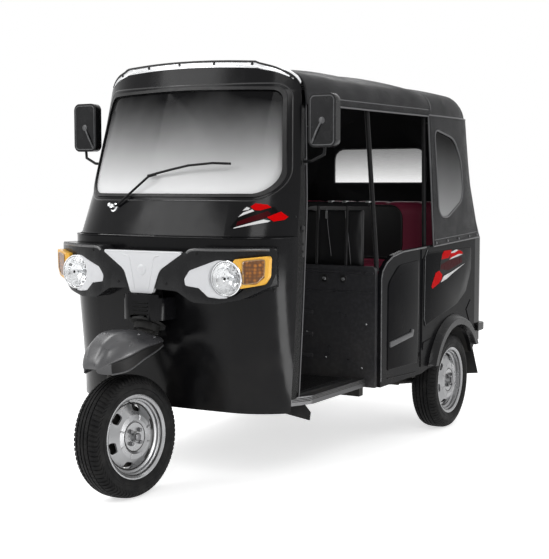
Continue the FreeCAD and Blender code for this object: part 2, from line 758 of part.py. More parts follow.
def shock_absorbers():
    """Rear springs with their dampers, from the arms up to the deck."""
    low, high = Vector(410, 1846, 292), Vector(398, 1890, 700)
    middle = low + (high - low) * 0.38
    solid = rod(low, middle, 34).fuse(rod(middle, high, 22)).removeSplitter()
    return feature("shock_absorbers", both_sides(solid))


def exhaust():
    """Silencer drum across the tail, with its pipe from the engine."""
    drum = rod((-150, 2232, 256), (190, 2232, 256), 40)
    pipe = bent_rod([(-60, 2160, 280), (-60, 2212, 276), (-60, 2232, 250)], 15)
    tail = bent_rod([(180, 2232, 256), (240, 2240, 246), (262, 2310, 230)], 13)
    whole = drum.fuse([pipe, tail]).removeSplitter()
    return feature("exhaust", largest(whole.cut(shape_of("engine"))))


def mud_flaps():
    """Rubber flaps behind the rear wheels and below the apron's rear corners."""
    hanging = [(2184, 401), (2191, 401), (2262, 222), (2255, 222)]
    rear = prism("X", hanging, 486, 630).common(prism("Y", [(486, 402), (618, 402), (630, 236), (486, 218)],
                                                      2100, 2300))
    neighbours = [shape_of(name) for name in ("body_side_left", "wheel_wells", "wheel_flares")]
    rear = largest(rear.cut(neighbours))
    front = prism("Y", [(330, 342), (500, 342), (540, 300), (536, 266), (330, 296)], 548, 555)
    return feature("mud_flaps", Part.makeCompound([rear, mirrored(rear), front, mirrored(front)]))


# ---------------------------------------------------------------- tub and cab


def bulkhead():
    """Wall between the driver and the passengers, with a rolled top edge."""
    body = panel("bulkhead", "XZ_Plane", [
        ("-bulkhead_half", "tub_bottom"),
        ("-rail_out - 3", "tub_bottom"), ("-rail_out - 3", "rail_top + 3"),
        ("-rail_in + 3", "rail_top + 3"), ("-rail_in + 3", "tub_bottom"),
        ("rail_in - 3", "tub_bottom"), ("rail_in - 3", "rail_top + 3"),
        ("rail_out + 3", "rail_top + 3"), ("rail_out + 3", "tub_bottom"),
        ("bulkhead_half", "tub_bottom"),
        ("bulkhead_half", "bulkhead_top", "24"), ("-bulkhead_half", "bulkhead_top", "24"),
    ], "-bulkhead_y - bulkhead_sheet", "bulkhead_sheet")
    return body


def body_side(name, side):
    """Side pressing: arched half panel beside the passengers and the quarter over the wheel."""
    body = document.addObject("PartDesign::Body", f"body_side_{name}")
    inner_face = "side_out - side_sheet" if side > 0 else "-side_out"
    corners = [
        ("side_front", "tub_bottom"), ("side_front", "826"), ("side_front + 14", "862"),
        ("side_front + 60", "898"), ("side_front + 124", "924"), ("1290", "quarter_top - 10"),
        ("1600", "quarter_top"), ("corner_start", "quarter_top + 14"),
        ("corner_start", "tub_rear_bottom - 20"), ("wheelbase + 250", "350"), ("1600", "350"),
        ("1520", "tub_bottom"),
    ]
    sketch = outline(body, "YZ_Plane", corners, inner_face)
    pad(body, sketch, "side_sheet")
    document.recompute()
    whole = body.Shape.Volume
    ring = attach(body, "YZ_Plane", inner_face)
    circle = Part.Circle(Vector(dim("wheelbase"), dim("wheel_radius"), 0), AXES["Z"], dim("arch_radius"))
    ring.addGeometry(circle, False)
    for kind, value in (("DistanceX", "wheelbase"), ("DistanceY", "wheel_radius")):
        index = ring.addConstraint(Sketcher.Constraint(kind, -1, 1, 0, 3, dim(value)))
        ring.setExpression(f"Constraints[{index}]", bound(value))
    index = ring.addConstraint(Sketcher.Constraint("Radius", 0, dim("arch_radius")))
    ring.setExpression(f"Constraints[{index}]", bound("arch_radius"))
    pocket(body, ring)
    document.recompute()
    if body.Shape.Volume > whole - 1000:
        raise RuntimeError(f"the wheel arch of {body.Name} cut nothing")
    keep(body, f"body_side_{name}")
    return at_front_axle(body)


def body_sides():
    """Both side pressings."""
    body_side("left", 1)
    body_side("right", -1)


def bench_box():
    """Passenger floor, the riser behind it and the deck that carries the bench."""
    floor, deck, front = dim("passenger_floor"), dim("deck_top"), dim("bench_front")
    half = dim("side_out") - dim("side_sheet") - 1
    profile = [(1056, floor - 14), (1056, floor), (front, floor), (front, deck), (2320, deck),
               (2320, deck - 12), (front + 12, deck - 12), (front + 12, floor - 14)]
    box = prism("X", profile, -half, half).cut(shape_of("rear_panel"))
    return feature("bench_box", largest(box))


def wheel_wells():
    """Inner arches over the rear wheels, closed on the inboard side."""
    hub = Vector(448, dim("wheelbase"), dim("wheel_radius"))
    outer = Part.makeCylinder(303, 150, hub, AXES["X"])
    inner = Part.makeCylinder(292, 150, hub + Vector(8, 0, 0), AXES["X"])
    low = brick((400, 700), (1500, 2400), (-100, 356))
    shell = outer.cut(inner).cut(low).cut(brick((440, 470), (1840, 2000), (300, 400)))
    return feature("wheel_wells", both_sides(largest(shell)))


def wheel_flares():
    """Plastic arches standing out of the quarters."""
    start = Vector(dim("side_out") + 0.5, dim("wheelbase"), dim("wheel_radius"))
    outer = Part.makeCone(345, 322, dim("flare_out"), start, AXES["X"])
    inner = Part.makeCylinder(dim("arch_radius"), dim("flare_out") + 20, start - Vector(5, 0, 0), AXES["X"])
    low = prism("X", [(1500, 358), (1950, 358), (2120, 402), (2400, 402), (2400, -200), (1500, -200)],
                500, 800)
    return feature("wheel_flares", both_sides(outer.cut(inner).cut(low)))


def tub_plan(inset):
    """The tub's rear end seen from above, from the ends of the side pressings."""
    half, rear = dim("side_out") - inset, dim("tub_rear") - inset
    start = dim("corner_start") + 0.5
    return [(half, start, 0), (half, rear, 70 - inset), (-half, rear, 70 - inset), (-half, start, 0)]


def lid_outline(gap):
    """The engine lid's opening across the rear, wider by a gap."""
    return [(-420 - gap, 530 - gap, 30), (420 + gap, 530 - gap, 30), (420 + gap, 800 + gap, 30),
            (-420 - gap, 800 + gap, 30)]


def rear_panel():
    """Tail of the tub with its round corners and the engine lid's opening."""
    top, low = dim("quarter_top + 14"), dim("tub_rear_bottom")
    outer = rounded_prism("Z", tub_plan(0), low, top)
    inner = rounded_prism("Z", [(x, y - (1 if y < 2230 else 0), r) for x, y, r in tub_plan(14)],
                          low - 10, top + 10)
    opening = rounded_prism("Y", lid_outline(6), 2200, 2400)
    plate_holes = [rod((x, 2200, 884), (x, 2400, 884), dim("plate_hole_radius"))
                   for x in (-dim("plate_hole_spacing") / 2, dim("plate_hole_spacing") / 2)]
    return feature("rear_panel", outer.cut([inner, opening] + plate_holes + lid_hinges(12)))


def lid_hinges(radius):
    """The lid's hinge barrels, of a given radius, along its top edge."""
    axis_y, axis_z = dim("tub_rear + 2"), dim("lid_axis_z")
    barrels = [rod((x - 35, axis_y, axis_z), (x + 35, axis_y, axis_z), radius) for x in (-300, 300)]
    return barrels


def engine_lid():
    """Lid over the engine, hinged along its top edge."""
    rear = dim("tub_rear")
    skin = rounded_prism("Y", lid_outline(0), rear - 10, rear + 2)
    pull = brick((-60, 60), (rear - 4, rear + 14), (556, 572))
    return feature("engine_lid", skin.fuse([pull] + lid_hinges(6)).removeSplitter())


def rear_bumper():
    """Black bumper round the tail."""
    half, rear = 634, 2372
    outer = rounded_prism("Z", [(half, 2240, 0), (half, rear, 60), (-half, rear, 60), (-half, 2240, 0)],
                          464, 506)
    inner = rounded_prism("Z", [(half - 13, 2230, 0), (half - 13, 2348, 70), (-half + 13, 2348, 70),
                                (-half + 13, 2230, 0)], 450, 520)
    return feature("rear_bumper", outer.cut(inner))


def tail_lamps():
    """Upright rear lamps near the tub's corners."""
    lamp = rounded_prism("Y", [(466, 640, 14), (536, 640, 14), (536, 860, 14), (466, 860, 14)],
                         dim("tub_rear") + 0.4, dim("tub_rear") + 24)
    return feature("tail_lamps", both_sides(lamp))


def cushion(name, x_span, y_span, z_span, radius):
    """A plain padded block with rounded upright edges, seen from the side."""
    points = [(y_span[0], z_span[0], radius), (y_span[1], z_span[0], radius),
              (y_span[1], z_span[1], radius), (y_span[0], z_span[1], radius)]
    return feature(name, rounded_prism("X", points, *x_span))


def driver_seat():
    """Driver's seat pad on its box."""
    cushion("driver_seat", (-235, 235), (640, 990), (640, 720), 28)
    box = brick((-200, 200), (700, 1000), (dim("floor_top") + 0.5, 639))
    inner = brick((-190, 190), (710, 990), (300, 629))
    feature("driver_seat_box", box.cut(inner))
    cushion("driver_backrest", (-530, 530), (1071, 1105), (dim("bulkhead_top") - 22, 1142), 15)


def bench():
    """Passenger bench pad and its backrest."""
    half = 592
    deck = dim("deck_top")
    cushion("bench_cushion", (-half, half), (1592, 1990), (deck + 0.5, deck + 120), 36)
    points = [(1996, deck + 1, 0), (2110, deck + 1, 0), (2120, 1172, 40), (2040, 1172, 40)]
    back = rounded_prism("X", points, -half, half)
    ends = rounded_prism("Y", [(-half, deck, 0), (half, deck, 0), (half, 1172, 90), (-half, 1172, 90)],
                         1900, 2200)
    feature("bench_backrest", back.common(ends))


# ---------------------------------------------------------------- hood and its frame

# Hood sections. Columns: place along the vehicle, half width at the shoulder, half width at the hem,
# crown height, height where the shoulder's bend starts, radius of that bend.
HOOD_SECTIONS = (
    (430, 500, 560, 1739, 1622, 95), (1090, 548, 596, 1757, 1612, 88), (1640, 594, 631, 1768, 1608, 88),
    (1990, 607, 632, 1765, 1604, 92),
)
HOOD_TAIL_SECTIONS = (
    (1990, 607, 632, 1765, 1604, 92), (2110, 595, 632, 1752, 1584, 108), (2210, 552, 632, 1726, 1548, 122),
    (2285, 468, 629, 1684, 1505, 130), (2335, 350, 590, 1612, 1440, 120),
)


def roof_section(place, shoulder, hem, top, side_top, bend, inset):
    """One closed section across a roof, from the hem line up over its crown, drawn in by an inset."""
    low = dim("hood_hem") - 12
    centre_x = shoulder - bend
    bend, hem, shoulder, top = bend - inset, hem - inset, shoulder - inset, top - inset
    turn = math.radians(76)
    edge = Vector(centre_x + bend * math.cos(turn), place, side_top + bend * math.sin(turn))
    middle = Vector(centre_x + bend * math.cos(turn / 2), place, side_top + bend * math.sin(turn / 2))
    side = Vector(shoulder, place, side_top)
    foot = Vector(hem, place, low)

    def other(point):
        return Vector(-point.x, point.y, point.z)

    edges = [
        Part.LineSegment(other(foot), foot), Part.LineSegment(foot, side),
        Part.Arc(side, middle, edge), Part.Arc(edge, Vector(0, place, top), other(edge)),
        Part.Arc(other(edge), other(middle), other(side)), Part.LineSegment(other(side), other(foot)),
    ]
    return Part.Wire([item.toShape() for item in edges])


def hood_body(inset):
    """The hood as a full solid, its tail rounding in plan and in profile, drawn in by an inset."""
    front = Part.makeLoft([roof_section(*s, inset) for s in HOOD_SECTIONS], True, True)
    sections = HOOD_TAIL_SECTIONS[:-1] + ((HOOD_TAIL_SECTIONS[-1][0] - inset, *HOOD_TAIL_SECTIONS[-1][1:]),)
    tail = Part.makeLoft([roof_section(*s, inset) for s in sections], True, False)
    return front.fuse(tail).removeSplitter()


def side_window_outline():
    """The D-shaped window in the hood's side, from the side."""
    return [(1690, 1520, 16), (1706, 1086, 50), (1820, 1084, 90), (2034, 1172, 80), (2014, 1380, 70),
            (1900, 1496, 120)]


def rear_window_outline():
    """The rear window, seen from behind: square below, round above."""
    return [(-284, 1254, 8), (284, 1254, 8), (284, 1448, 62), (-284, 1448, 62)]


def hood():
    """Canvas hood: roof, quarters and back in one skin, with its openings."""
    skin = hood_body(0).cut(hood_body(dim("canvas")))
    skin = skin.cut(brick((-900, 900), (300, dim("c_post_y")), (800, dim("opening_top"))))
    hem, tub_top = dim("hood_hem"), dim("quarter_top + 17")
    below = [(300, 0), (3000, 0), (3000, tub_top), (dim("corner_start"), tub_top), (1600, hem), (300, hem)]
    skin = skin.cut(prism("X", below, -900, 900))
    skin = skin.common(behind_header()).cut(shape_of("screen_frame"))
    skin = skin.cut(rounded_prism("X", side_window_outline(), -900, 900))
    skin = skin.cut(rounded_prism("Y", rear_window_outline(), 1900, 2600))
    return feature("hood", largest(skin))


def behind_header():
    """The space the hood may fill: behind the header strip, then the full width."""
    plan = (430, 280, 460, 489, 562)
    nose = front_solid(((1500, *plan), (1900, *plan)), inset=21)
    return nose.fuse(brick((-900, 900), (566, 2600), (800, 1900)))


def window_pane(name, outline_points, axis, inner, outer):
    """Clear sheets that fill a hood window, from the middle of the canvas."""
    skin = hood_body(outer).cut(hood_body(inner))
    pane = skin.common(rounded_prism(axis, outline_points, *((300, 900) if axis == "X" else (1900, 2600))))
    if axis == "X":
        return feature(name, both_sides(pane))
    return feature(name, pane)


def windows():
    """Side and rear windows of the hood."""
    grown = side_window_outline()
    window_pane("side_windows", grown, "X", 6, 2)
    window_pane("rear_window", rear_window_outline(), "Y", 6, 2)


def tube_frame():
    """Posts, roof rails, bows, and the partition rail with its uprights."""
    radius = dim("tube_radius")
    roof_z = dim("opening_top") + 18
    stations = {1090: 526, 1500: 554, 1640: 568, 1880: 576}
    rail = bent_rod([(478, 596, roof_z)] + [(x, y, roof_z) for y, x in stations.items()], radius)
    frame = [rail, mirrored(rail)]
    for place in (1090, 1500, 1880):
        half, knee = stations[place], stations[place] - 60
        arch = [(-half, place, roof_z), (-knee, place, roof_z + 76), (0, place, 1736),
                (knee, place, roof_z + 76), (half, place, roof_z)]
        frame.append(bent_rod(arch, radius - 1))
    feature("roof_frame", frame[0].fuse(frame[1:]).removeSplitter())
    posts = [rod((594, 1066, 858), (527, 1090, roof_z - radius - 2), radius),
             rod((586, 1614, 930), (567, 1639, roof_z - radius - 2), radius)]
    posts[0] = posts[0].cut([shape_of("bulkhead"), shape_of("body_side_left")])
    feature("posts", Part.makeCompound(posts + [mirrored(post) for post in posts]))
    rail = rod((-556, 1056, 1158), (556, 1056, 1158), radius - 1)
    uprights = [rod((x, 1044, 866), (x, 1056, 1158), 7) for x in (-450, -300, 300, 450)]
    grips = [rod((x, 1056, 1158), (x * 1.02, 1076, 1158), 6) for x in (-550, 550)]
    partition = rail.fuse(uprights + grips).removeSplitter().cut([shape_of("bulkhead"), shape_of("posts")])
    feature("partition_rail", largest(partition))


# ---------------------------------------------------------------- mirrors and wiper


def mirrors():
    """Mirror arms from the pillars, and the housings they carry."""
    x, y, z = dim("mirror_x"), dim("mirror_y"), dim("mirror_z")
    half_w, half_h = dim("mirror_w / 2"), dim("mirror_h / 2")
    housing = rounded_prism("Y", [(x - half_w, z - half_h, 30), (x + half_w, z - half_h, 30),
                                  (x + half_w, z + half_h, 30), (x - half_w, z + half_h, 30)],
                            y - 20, y + 20)
    arm = bent_rod([(515, 530, 1337), (560, 520, 1340), (x + 4, y - 6, 1366), (x + 8, y - 6, z - half_h + 20)],
                   6)
    foot = rod((500, 530, 1337), (524, 530, 1337), 14)
    arm = arm.fuse(foot).cut(housing).cut(front_solid(SCREEN_SECTIONS, inset=-0.3))
    feature("mirror_arms", both_sides(largest(arm)))
    feature("mirrors", both_sides(housing))


# Route of the wiper's blade along the glass. Columns: across, along, height.
BLADE_ROUTE = ((-96, 292, 1281), (30, 284, 1306), (115, 284, 1322), (228, 294, 1331), (300, 318, 1328))


def wiper():
    """Wiper arm and blade standing off the glass, from a pivot on the belt."""
    pivot = rod((-256, 300, 1146), (-256, 262, 1146), 11)
    arm = rod((-256, 266, 1146), (-76, 272, 1279), 5)
    blade = bent_rod(BLADE_ROUTE, 5)
    joint = rod((-76, 272, 1279), (-50, 290, 1288), 6)
    whole = pivot.fuse([arm, blade, joint]).cut(front_solid(SCREEN_SECTIONS, inset=-6))
    return feature("wiper", largest(whole))


# ---------------------------------------------------------------- build and export


def build():
    """Makes every sub-part."""
    for make in (
        apron, screen_frame, header_strip, windscreen, windscreen_gasket, front_fascia,
        fascia_insert, headlamps, indicators, nose_cowl, handlebar, front_fork, front_mudguard,
        front_wheel, rear_wheels, chassis, driver_floor, sill_trims, engine, trailing_arms,
        shock_absorbers, exhaust, bulkhead, body_sides, rear_panel, bench_box, wheel_wells,
        wheel_flares, mud_flaps, engine_lid, rear_bumper, tail_lamps, driver_seat, bench, hood, windows,
        tube_frame, mirrors, wiper,
    ):
        make()


def check_and_export():
    """Refuses a failed object or shape, then writes one STEP file for each sub-part."""
    document.recompute()
    for item in document.Objects:
        if {"Invalid", "Error"} & set(item.State):
            raise RuntimeError(f"{item.Name} did not rebuild: {item.State}")
    os.makedirs("parts", exist_ok=True)
    for sub_part in SUB_PARTS:
        shape = sub_part.Shape
        if shape.isNull() or not shape.isValid() or not shape.Solids:
            raise RuntimeError(f"{sub_part.Label} has no sound solid")
        shape.exportStep(os.path.join("parts", f"{sub_part.Label}.step"))


build()
check_and_export()
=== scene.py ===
"""Studio scene for the three-wheeled auto rickshaw: finishes, cloth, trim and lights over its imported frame.

Lengths are metres. Places are given from the ground under the front axle: X to the vehicle's left,
Y rearward and Z up. The function at() carries them into the frame's own axes.
"""

import json
import logging
import math
from collections.abc import Iterable, Sequence
from dataclasses import dataclass, field
from enum import Enum

import bmesh
import bpy
from mathutils import Matrix, Vector
from mathutils.bvhtree import BVHTree


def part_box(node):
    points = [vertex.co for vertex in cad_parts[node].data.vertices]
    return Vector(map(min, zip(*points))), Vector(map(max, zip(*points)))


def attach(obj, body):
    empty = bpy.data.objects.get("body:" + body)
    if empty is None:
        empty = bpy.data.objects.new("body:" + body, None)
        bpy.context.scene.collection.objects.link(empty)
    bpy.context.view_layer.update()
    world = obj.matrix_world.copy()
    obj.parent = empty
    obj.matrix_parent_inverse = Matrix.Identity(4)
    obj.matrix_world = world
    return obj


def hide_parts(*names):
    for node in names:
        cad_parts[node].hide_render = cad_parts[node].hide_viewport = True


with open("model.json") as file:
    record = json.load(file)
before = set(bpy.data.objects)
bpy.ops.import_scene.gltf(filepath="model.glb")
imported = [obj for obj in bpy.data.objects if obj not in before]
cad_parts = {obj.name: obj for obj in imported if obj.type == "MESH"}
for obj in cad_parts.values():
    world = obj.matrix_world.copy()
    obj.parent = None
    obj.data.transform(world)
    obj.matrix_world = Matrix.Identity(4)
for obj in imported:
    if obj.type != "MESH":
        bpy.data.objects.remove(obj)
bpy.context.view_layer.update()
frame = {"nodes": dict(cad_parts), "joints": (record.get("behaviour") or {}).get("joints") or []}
WHEELBASE = 1.92

log = logging.getLogger("rickshaw")

Colour = tuple[float, float, float]
Place = tuple[float, float, float]


def front_axle_y() -> float:
    """The front axle's place along the frame, one wheelbase ahead of the rear rims."""
    low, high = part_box("rear_rim_left")
    return (low[1] + high[1]) / 2 - WHEELBASE


AXLE_Y = front_axle_y()
LEFT, BACK, DOWN = Vector((1, 0, 0)), Vector((0, 1, 0)), Vector((0, 0, -1))
AHEAD = -BACK


def at(x: float, y: float, z: float) -> Vector:
    """A place given from the ground under the front axle, in the frame's axes."""
    return Vector((x, y + AXLE_Y, z))


def joint_line(name: str) -> tuple[Vector, Vector]:
    """Where a joint's axis passes, and the way it runs."""
    joint = next(item for item in frame["joints"] if item["name"] == name)
    return Vector(joint["pos_m"]), Vector(joint["axis"])


class Body(Enum):
    """The bodies of the frame that a piece can ride on."""

    SHELL = "body"
    LID = "engine_lid"
    STEERING = "steering"
    FRONT_WHEEL = "front_wheel"
    LEFT_WHEEL = "rear_wheel_left"
    RIGHT_WHEEL = "rear_wheel_right"


# ---------------------------------------------------------------- node graphs


class Graph:
    """A shader or group tree while it is being wired."""

    def __init__(self, tree: bpy.types.NodeTree) -> None:
        """Wraps an empty tree.

        Args:
            tree: the node tree to fill.
        """
        self.tree = tree

    def add(self, kind: str, inputs: dict | None = None, **settings: object) -> bpy.types.Node:
        """Places a node.

        Args:
            kind: the node's type without its ShaderNode prefix.
            inputs: sockets by name or number, each a value or a socket to link from.
            **settings: the node's own properties.

        Returns:
            The new node.
        """
        node = self.tree.nodes.new(f"ShaderNode{kind}")
        for name, value in settings.items():
            setattr(node, name, value)
        for name, value in (inputs or {}).items():
            self.feed(node.inputs[name], value)
        return node

    def feed(self, socket: bpy.types.NodeSocket, value: object) -> None:
        """Links a socket to another, or sets its plain value.

        Args:
            socket: the socket that is fed.
            value: the socket or the plain value that feeds it.
        """
        if isinstance(value, bpy.types.NodeSocket):
            self.tree.links.new(value, socket)
        else:
            socket.default_value = value

    def mix(self, factor: object, first: object, second: object) -> bpy.types.NodeSocket:
        """A colour between two colours, by a factor."""
        node = self.add("Mix", {0: factor, 6: first, 7: second}, data_type="RGBA")
        return node.outputs[2]

    def span(self, value: object, start: float, end: float, low: float, high: float) -> bpy.types.NodeSocket:
        """A value carried from one range to another and held inside it."""
        limits = {"Value": value, "From Min": start, "From Max": end, "To Min": low, "To Max": high}
        return self.add("MapRange", limits).outputs["Result"]

    def math(self, operation: str, first: object, second: object = 0.0) -> bpy.types.NodeSocket:
        """The result of one arithmetic step."""
        return self.add("Math", {0: first, 1: second}, operation=operation).outputs[0]

    def object_place(self) -> bpy.types.NodeSocket:
        """The surface's own place, which is the frame's because finished pieces sit at the origin."""
        return self.add("TexCoord").outputs["Object"]

    def axes(self) -> bpy.types.Node:
        """The three coordinates of the surface's place."""
        return self.add("SeparateXYZ", {0: self.object_place()})

    def noise(self, scale: object, detail: float = 2.0, stretch: Place | None = None) -> bpy.types.NodeSocket:
        """Soft noise over the surface, stretched along an axis if asked.

        Args:
            scale: how fine the noise is.
            detail: how much finer noise is laid over it.
            stretch: how much it is scaled along each axis.

        Returns:
            The noise's socket.
        """
        place = self.object_place()
        if stretch:
            place = self.add("Mapping", {"Vector": place, "Scale": stretch}).outputs[0]
        return self.add("TexNoise", {"Vector": place, "Scale": scale, "Detail": detail}).outputs["Fac"]


class Effect(Enum):
    """The shared effects, each a node group that is built once."""

    MOTTLE = "mottle"
    DUST = "road_dust"
    GRAIN = "vinyl_grain"
    WEAVE = "canvas_weave"
    WEAR = "edge_wear"


EFFECT_SOCKETS = {
    Effect.MOTTLE: (("Scale", "Contrast"), ("Mask",)),
    Effect.DUST: (("Top", "Amount"), ("Mask",)),
    Effect.GRAIN: (("Scale",), ("Height", "Mask")),
    Effect.WEAVE: (("Scale",), ("Height", "Mask")),
    Effect.WEAR: (("Amount",), ("Mask",)),
}


def wire_effect(effect: Effect, graph: Graph, given: bpy.types.Node) -> dict[str, bpy.types.NodeSocket]:
    """Wires the inside of a shared effect.

    Args:
        effect: which effect.
        graph: the group's graph.
        given: the group's input node.

    Returns:
        The sockets that the group puts out, by name.
    """
    if effect is Effect.MOTTLE:
        noise = graph.noise(given.outputs["Scale"], 5.0)
        return {"Mask": graph.math("MULTIPLY", noise, given.outputs["Contrast"])}
    if effect is Effect.DUST:
        height = graph.axes().outputs["Z"]
        fade = graph.math("SUBTRACT", 1.0, graph.math("DIVIDE", height, given.outputs["Top"]))
        cloud = graph.span(graph.noise(7.0, 6.0), 0.42, 0.72, 0.15, 1.0)
        mask = graph.math("MULTIPLY", graph.math("MAXIMUM", fade, 0.0), cloud)
        return {"Mask": graph.math("MULTIPLY", mask, given.outputs["Amount"])}
    if effect is Effect.GRAIN:
        inputs = {"Vector": graph.object_place(), "Scale": given.outputs["Scale"], "Randomness": 0.9}
        cells = graph.add("TexVoronoi", inputs, feature="SMOOTH_F1").outputs["Distance"]
        return {"Height": cells, "Mask": graph.span(cells, 0.2, 0.7, 0.0, 1.0)}
    if effect is Effect.WEAVE:
        place = graph.axes()
        across = graph.math("ADD", place.outputs["X"], place.outputs["Z"])
        warp = graph.math("SINE", graph.math("MULTIPLY", across, given.outputs["Scale"]))
        weft = graph.math("SINE", graph.math("MULTIPLY", place.outputs["Y"], given.outputs["Scale"]))
        threads = graph.math("MAXIMUM", warp, weft)
        return {"Height": threads, "Mask": graph.span(threads, -0.4, 1.0, 0.0, 1.0)}
    edges = graph.span(graph.add("NewGeometry").outputs["Pointiness"], 0.53, 0.62, 0.0, 1.0)
    chips = graph.span(graph.noise(60.0, 6.0), 0.45, 0.62, 0.0, 1.0)
    worn = graph.math("MULTIPLY", edges, chips)
    return {"Mask": graph.math("MULTIPLY", worn, given.outputs["Amount"])}


def effect_group(effect: Effect) -> bpy.types.NodeTree:
    """The node group of a shared effect.

    Args:
        effect: which effect.

    Returns:
        The group, made on the first call.
    """
    ready = bpy.data.node_groups.get(effect.value)
    if ready:
        return ready
    tree = bpy.data.node_groups.new(effect.value, "ShaderNodeTree")
    inputs, outputs = EFFECT_SOCKETS[effect]
    for name in inputs:
        tree.interface.new_socket(name=name, in_out="INPUT", socket_type="NodeSocketFloat")
    for name in outputs:
        tree.interface.new_socket(name=name, in_out="OUTPUT", socket_type="NodeSocketFloat")
    graph = Graph(tree)
    given = tree.nodes.new("NodeGroupInput")
    made = wire_effect(effect, graph, given)
    put_out = tree.nodes.new("NodeGroupOutput")
    for name in outputs:
        tree.links.new(made[name], put_out.inputs[name])
    return tree


def place_effect(graph: Graph, effect: Effect, **values: float) -> bpy.types.Node:
    """Places a shared effect in a material with its own values.

    Args:
        graph: the material's graph.
        effect: which effect.
        **values: the group's inputs, in lower case.

    Returns:
        The group's node.
    """
    node = graph.tree.nodes.new("ShaderNodeGroup")
    node.node_tree = effect_group(effect)
    for name, value in values.items():
        node.inputs[name.capitalize()].default_value = value
    return node


# ---------------------------------------------------------------- finishes

ROAD_DUST = (0.16, 0.145, 0.125, 1.0)
PALE_DUST = (0.2, 0.185, 0.16, 1.0)
RUBBER_BLOOM = (0.075, 0.072, 0.068, 1.0)
WHITE = (1.0, 1.0, 1.0, 1.0)


@dataclass(frozen=True)
class Finish:
    """A surface finish. Subclasses wire what makes theirs look real."""

    name: str
    colour: Colour
    roughness: float = 0.5
    reflectance: float = field(default=0.5, kw_only=True)

    def material(self) -> bpy.types.Material:
        """The finish's material, made on the first call.

        Returns:
            The material.
        """
        ready = bpy.data.materials.get(self.name)
        if ready:
            return ready
        made = bpy.data.materials.new(self.name)
        made.use_nodes = True
        made.node_tree.nodes.clear()
        graph = Graph(made.node_tree)
        shader = graph.add("BsdfPrincipled", {"Base Color": self.tinted(1.0), "Roughness": self.roughness})
        shader.inputs["Specular IOR Level"].default_value = self.reflectance
        self.wire(graph, shader)
        graph.add("OutputMaterial", {"Surface": shader.outputs[0]})
        return made

    def wire(self, graph: Graph, shader: bpy.types.Node) -> None:
        """Adds the finish's own nodes before the shader."""

    def bump(self, graph: Graph, shader: bpy.types.Node, height: object,
             strength: float, depth: float) -> None:
        """Roughens the surface's normal by a height.

        Args:
            graph: the material's graph.
            shader: the surface's shader.
            height: the socket that gives the height, from 0 to 1.
            strength: how strongly the relief shows.
            depth: the relief's depth in metres.
        """
        inputs = {"Strength": strength, "Distance": depth, "Height": height}
        graph.feed(shader.inputs["Normal"], graph.add("Bump", inputs).outputs[0])

    def cover(self, graph: Graph, shader: bpy.types.Node, colour: object, uneven: object,
              less: float, more: float) -> None:
        """Feeds the surface's colour, and a roughness that varies about the finish's own.

        Args:
            graph: the material's graph.
            shader: the surface's shader.
            colour: the socket that gives the colour.
            uneven: the socket that makes the roughness uneven, mostly from 0.3 to 0.7.
            less: how much smoother the surface gets where that is low.
            more: how much rougher it gets where that is high.
        """
        graph.feed(shader.inputs["Base Color"], colour)
        rough = graph.span(uneven, 0.3, 0.7, self.roughness - less, self.roughness + more)
        graph.feed(shader.inputs["Roughness"], rough)

    def tinted(self, factor: float) -> tuple[float, float, float, float]:
        """The finish's colour, lighter or darker by a factor."""
        return (*[min(1.0, channel * factor) for channel in self.colour], 1.0)


@dataclass(frozen=True)
class Paint(Finish):
    """Sprayed gloss paint with a light orange peel, road dust low down and rubbed edges."""

    coat: float = 0.5
    dust: float = 0.25
    wear: float = 0.25
    metallic: float = 0.0

    def wire(self, graph: Graph, shader: bpy.types.Node) -> None:
        """Wires flecked colour, dust, worn edges and orange peel.

        Args:
            graph: the material's graph.
            shader: the surface's shader.
        """
        fleck = place_effect(graph, Effect.MOTTLE, scale=9.0, contrast=0.6).outputs["Mask"]
        colour = graph.mix(fleck, self.tinted(0.85), self.tinted(1.3))
        worn = place_effect(graph, Effect.WEAR, amount=self.wear).outputs["Mask"]
        colour = graph.mix(worn, colour, self.tinted(2.2))
        dust = place_effect(graph, Effect.DUST, top=0.75, amount=self.dust).outputs["Mask"]
        graph.feed(shader.inputs["Base Color"], graph.mix(dust, colour, ROAD_DUST))
        rough = graph.math("ADD", graph.math("MULTIPLY", dust, 0.5), self.roughness)
        smear = graph.span(graph.noise(14.0, 4.0), 0.3, 0.7, -0.04, 0.06)
        graph.feed(shader.inputs["Roughness"], graph.math("ADD", rough, smear))
        shader.inputs["Coat Weight"].default_value = self.coat
        shader.inputs["Coat Roughness"].default_value = 0.12
        shader.inputs["Metallic"].default_value = self.metallic
        self.bump(graph, shader, graph.noise(420.0, 1.0), 0.05, 0.0006)


@dataclass(frozen=True)
class MouldedPlastic(Finish):
    """Moulded plastic with a fine spark-eroded texture and a little dust."""

    texture: float = 0.25
    dust: float = 0.3
    metallic: float = 0.0

    def wire(self, graph: Graph, shader: bpy.types.Node) -> None:
        """Wires uneven tone, dust and the mould's texture.

        Args:
            graph: the material's graph.
            shader: the surface's shader.
        """
        tone = place_effect(graph, Effect.MOTTLE, scale=16.0, contrast=0.7).outputs["Mask"]
        colour = graph.mix(tone, self.tinted(0.88), self.tinted(1.18))
        dust = place_effect(graph, Effect.DUST, top=0.7, amount=self.dust).outputs["Mask"]
        self.cover(graph, shader, graph.mix(dust, colour, PALE_DUST), graph.noise(30.0, 4.0), 0.05, 0.07)
        shader.inputs["Metallic"].default_value = self.metallic
        self.bump(graph, shader, graph.noise(900.0, 2.0), self.texture, 0.0004)


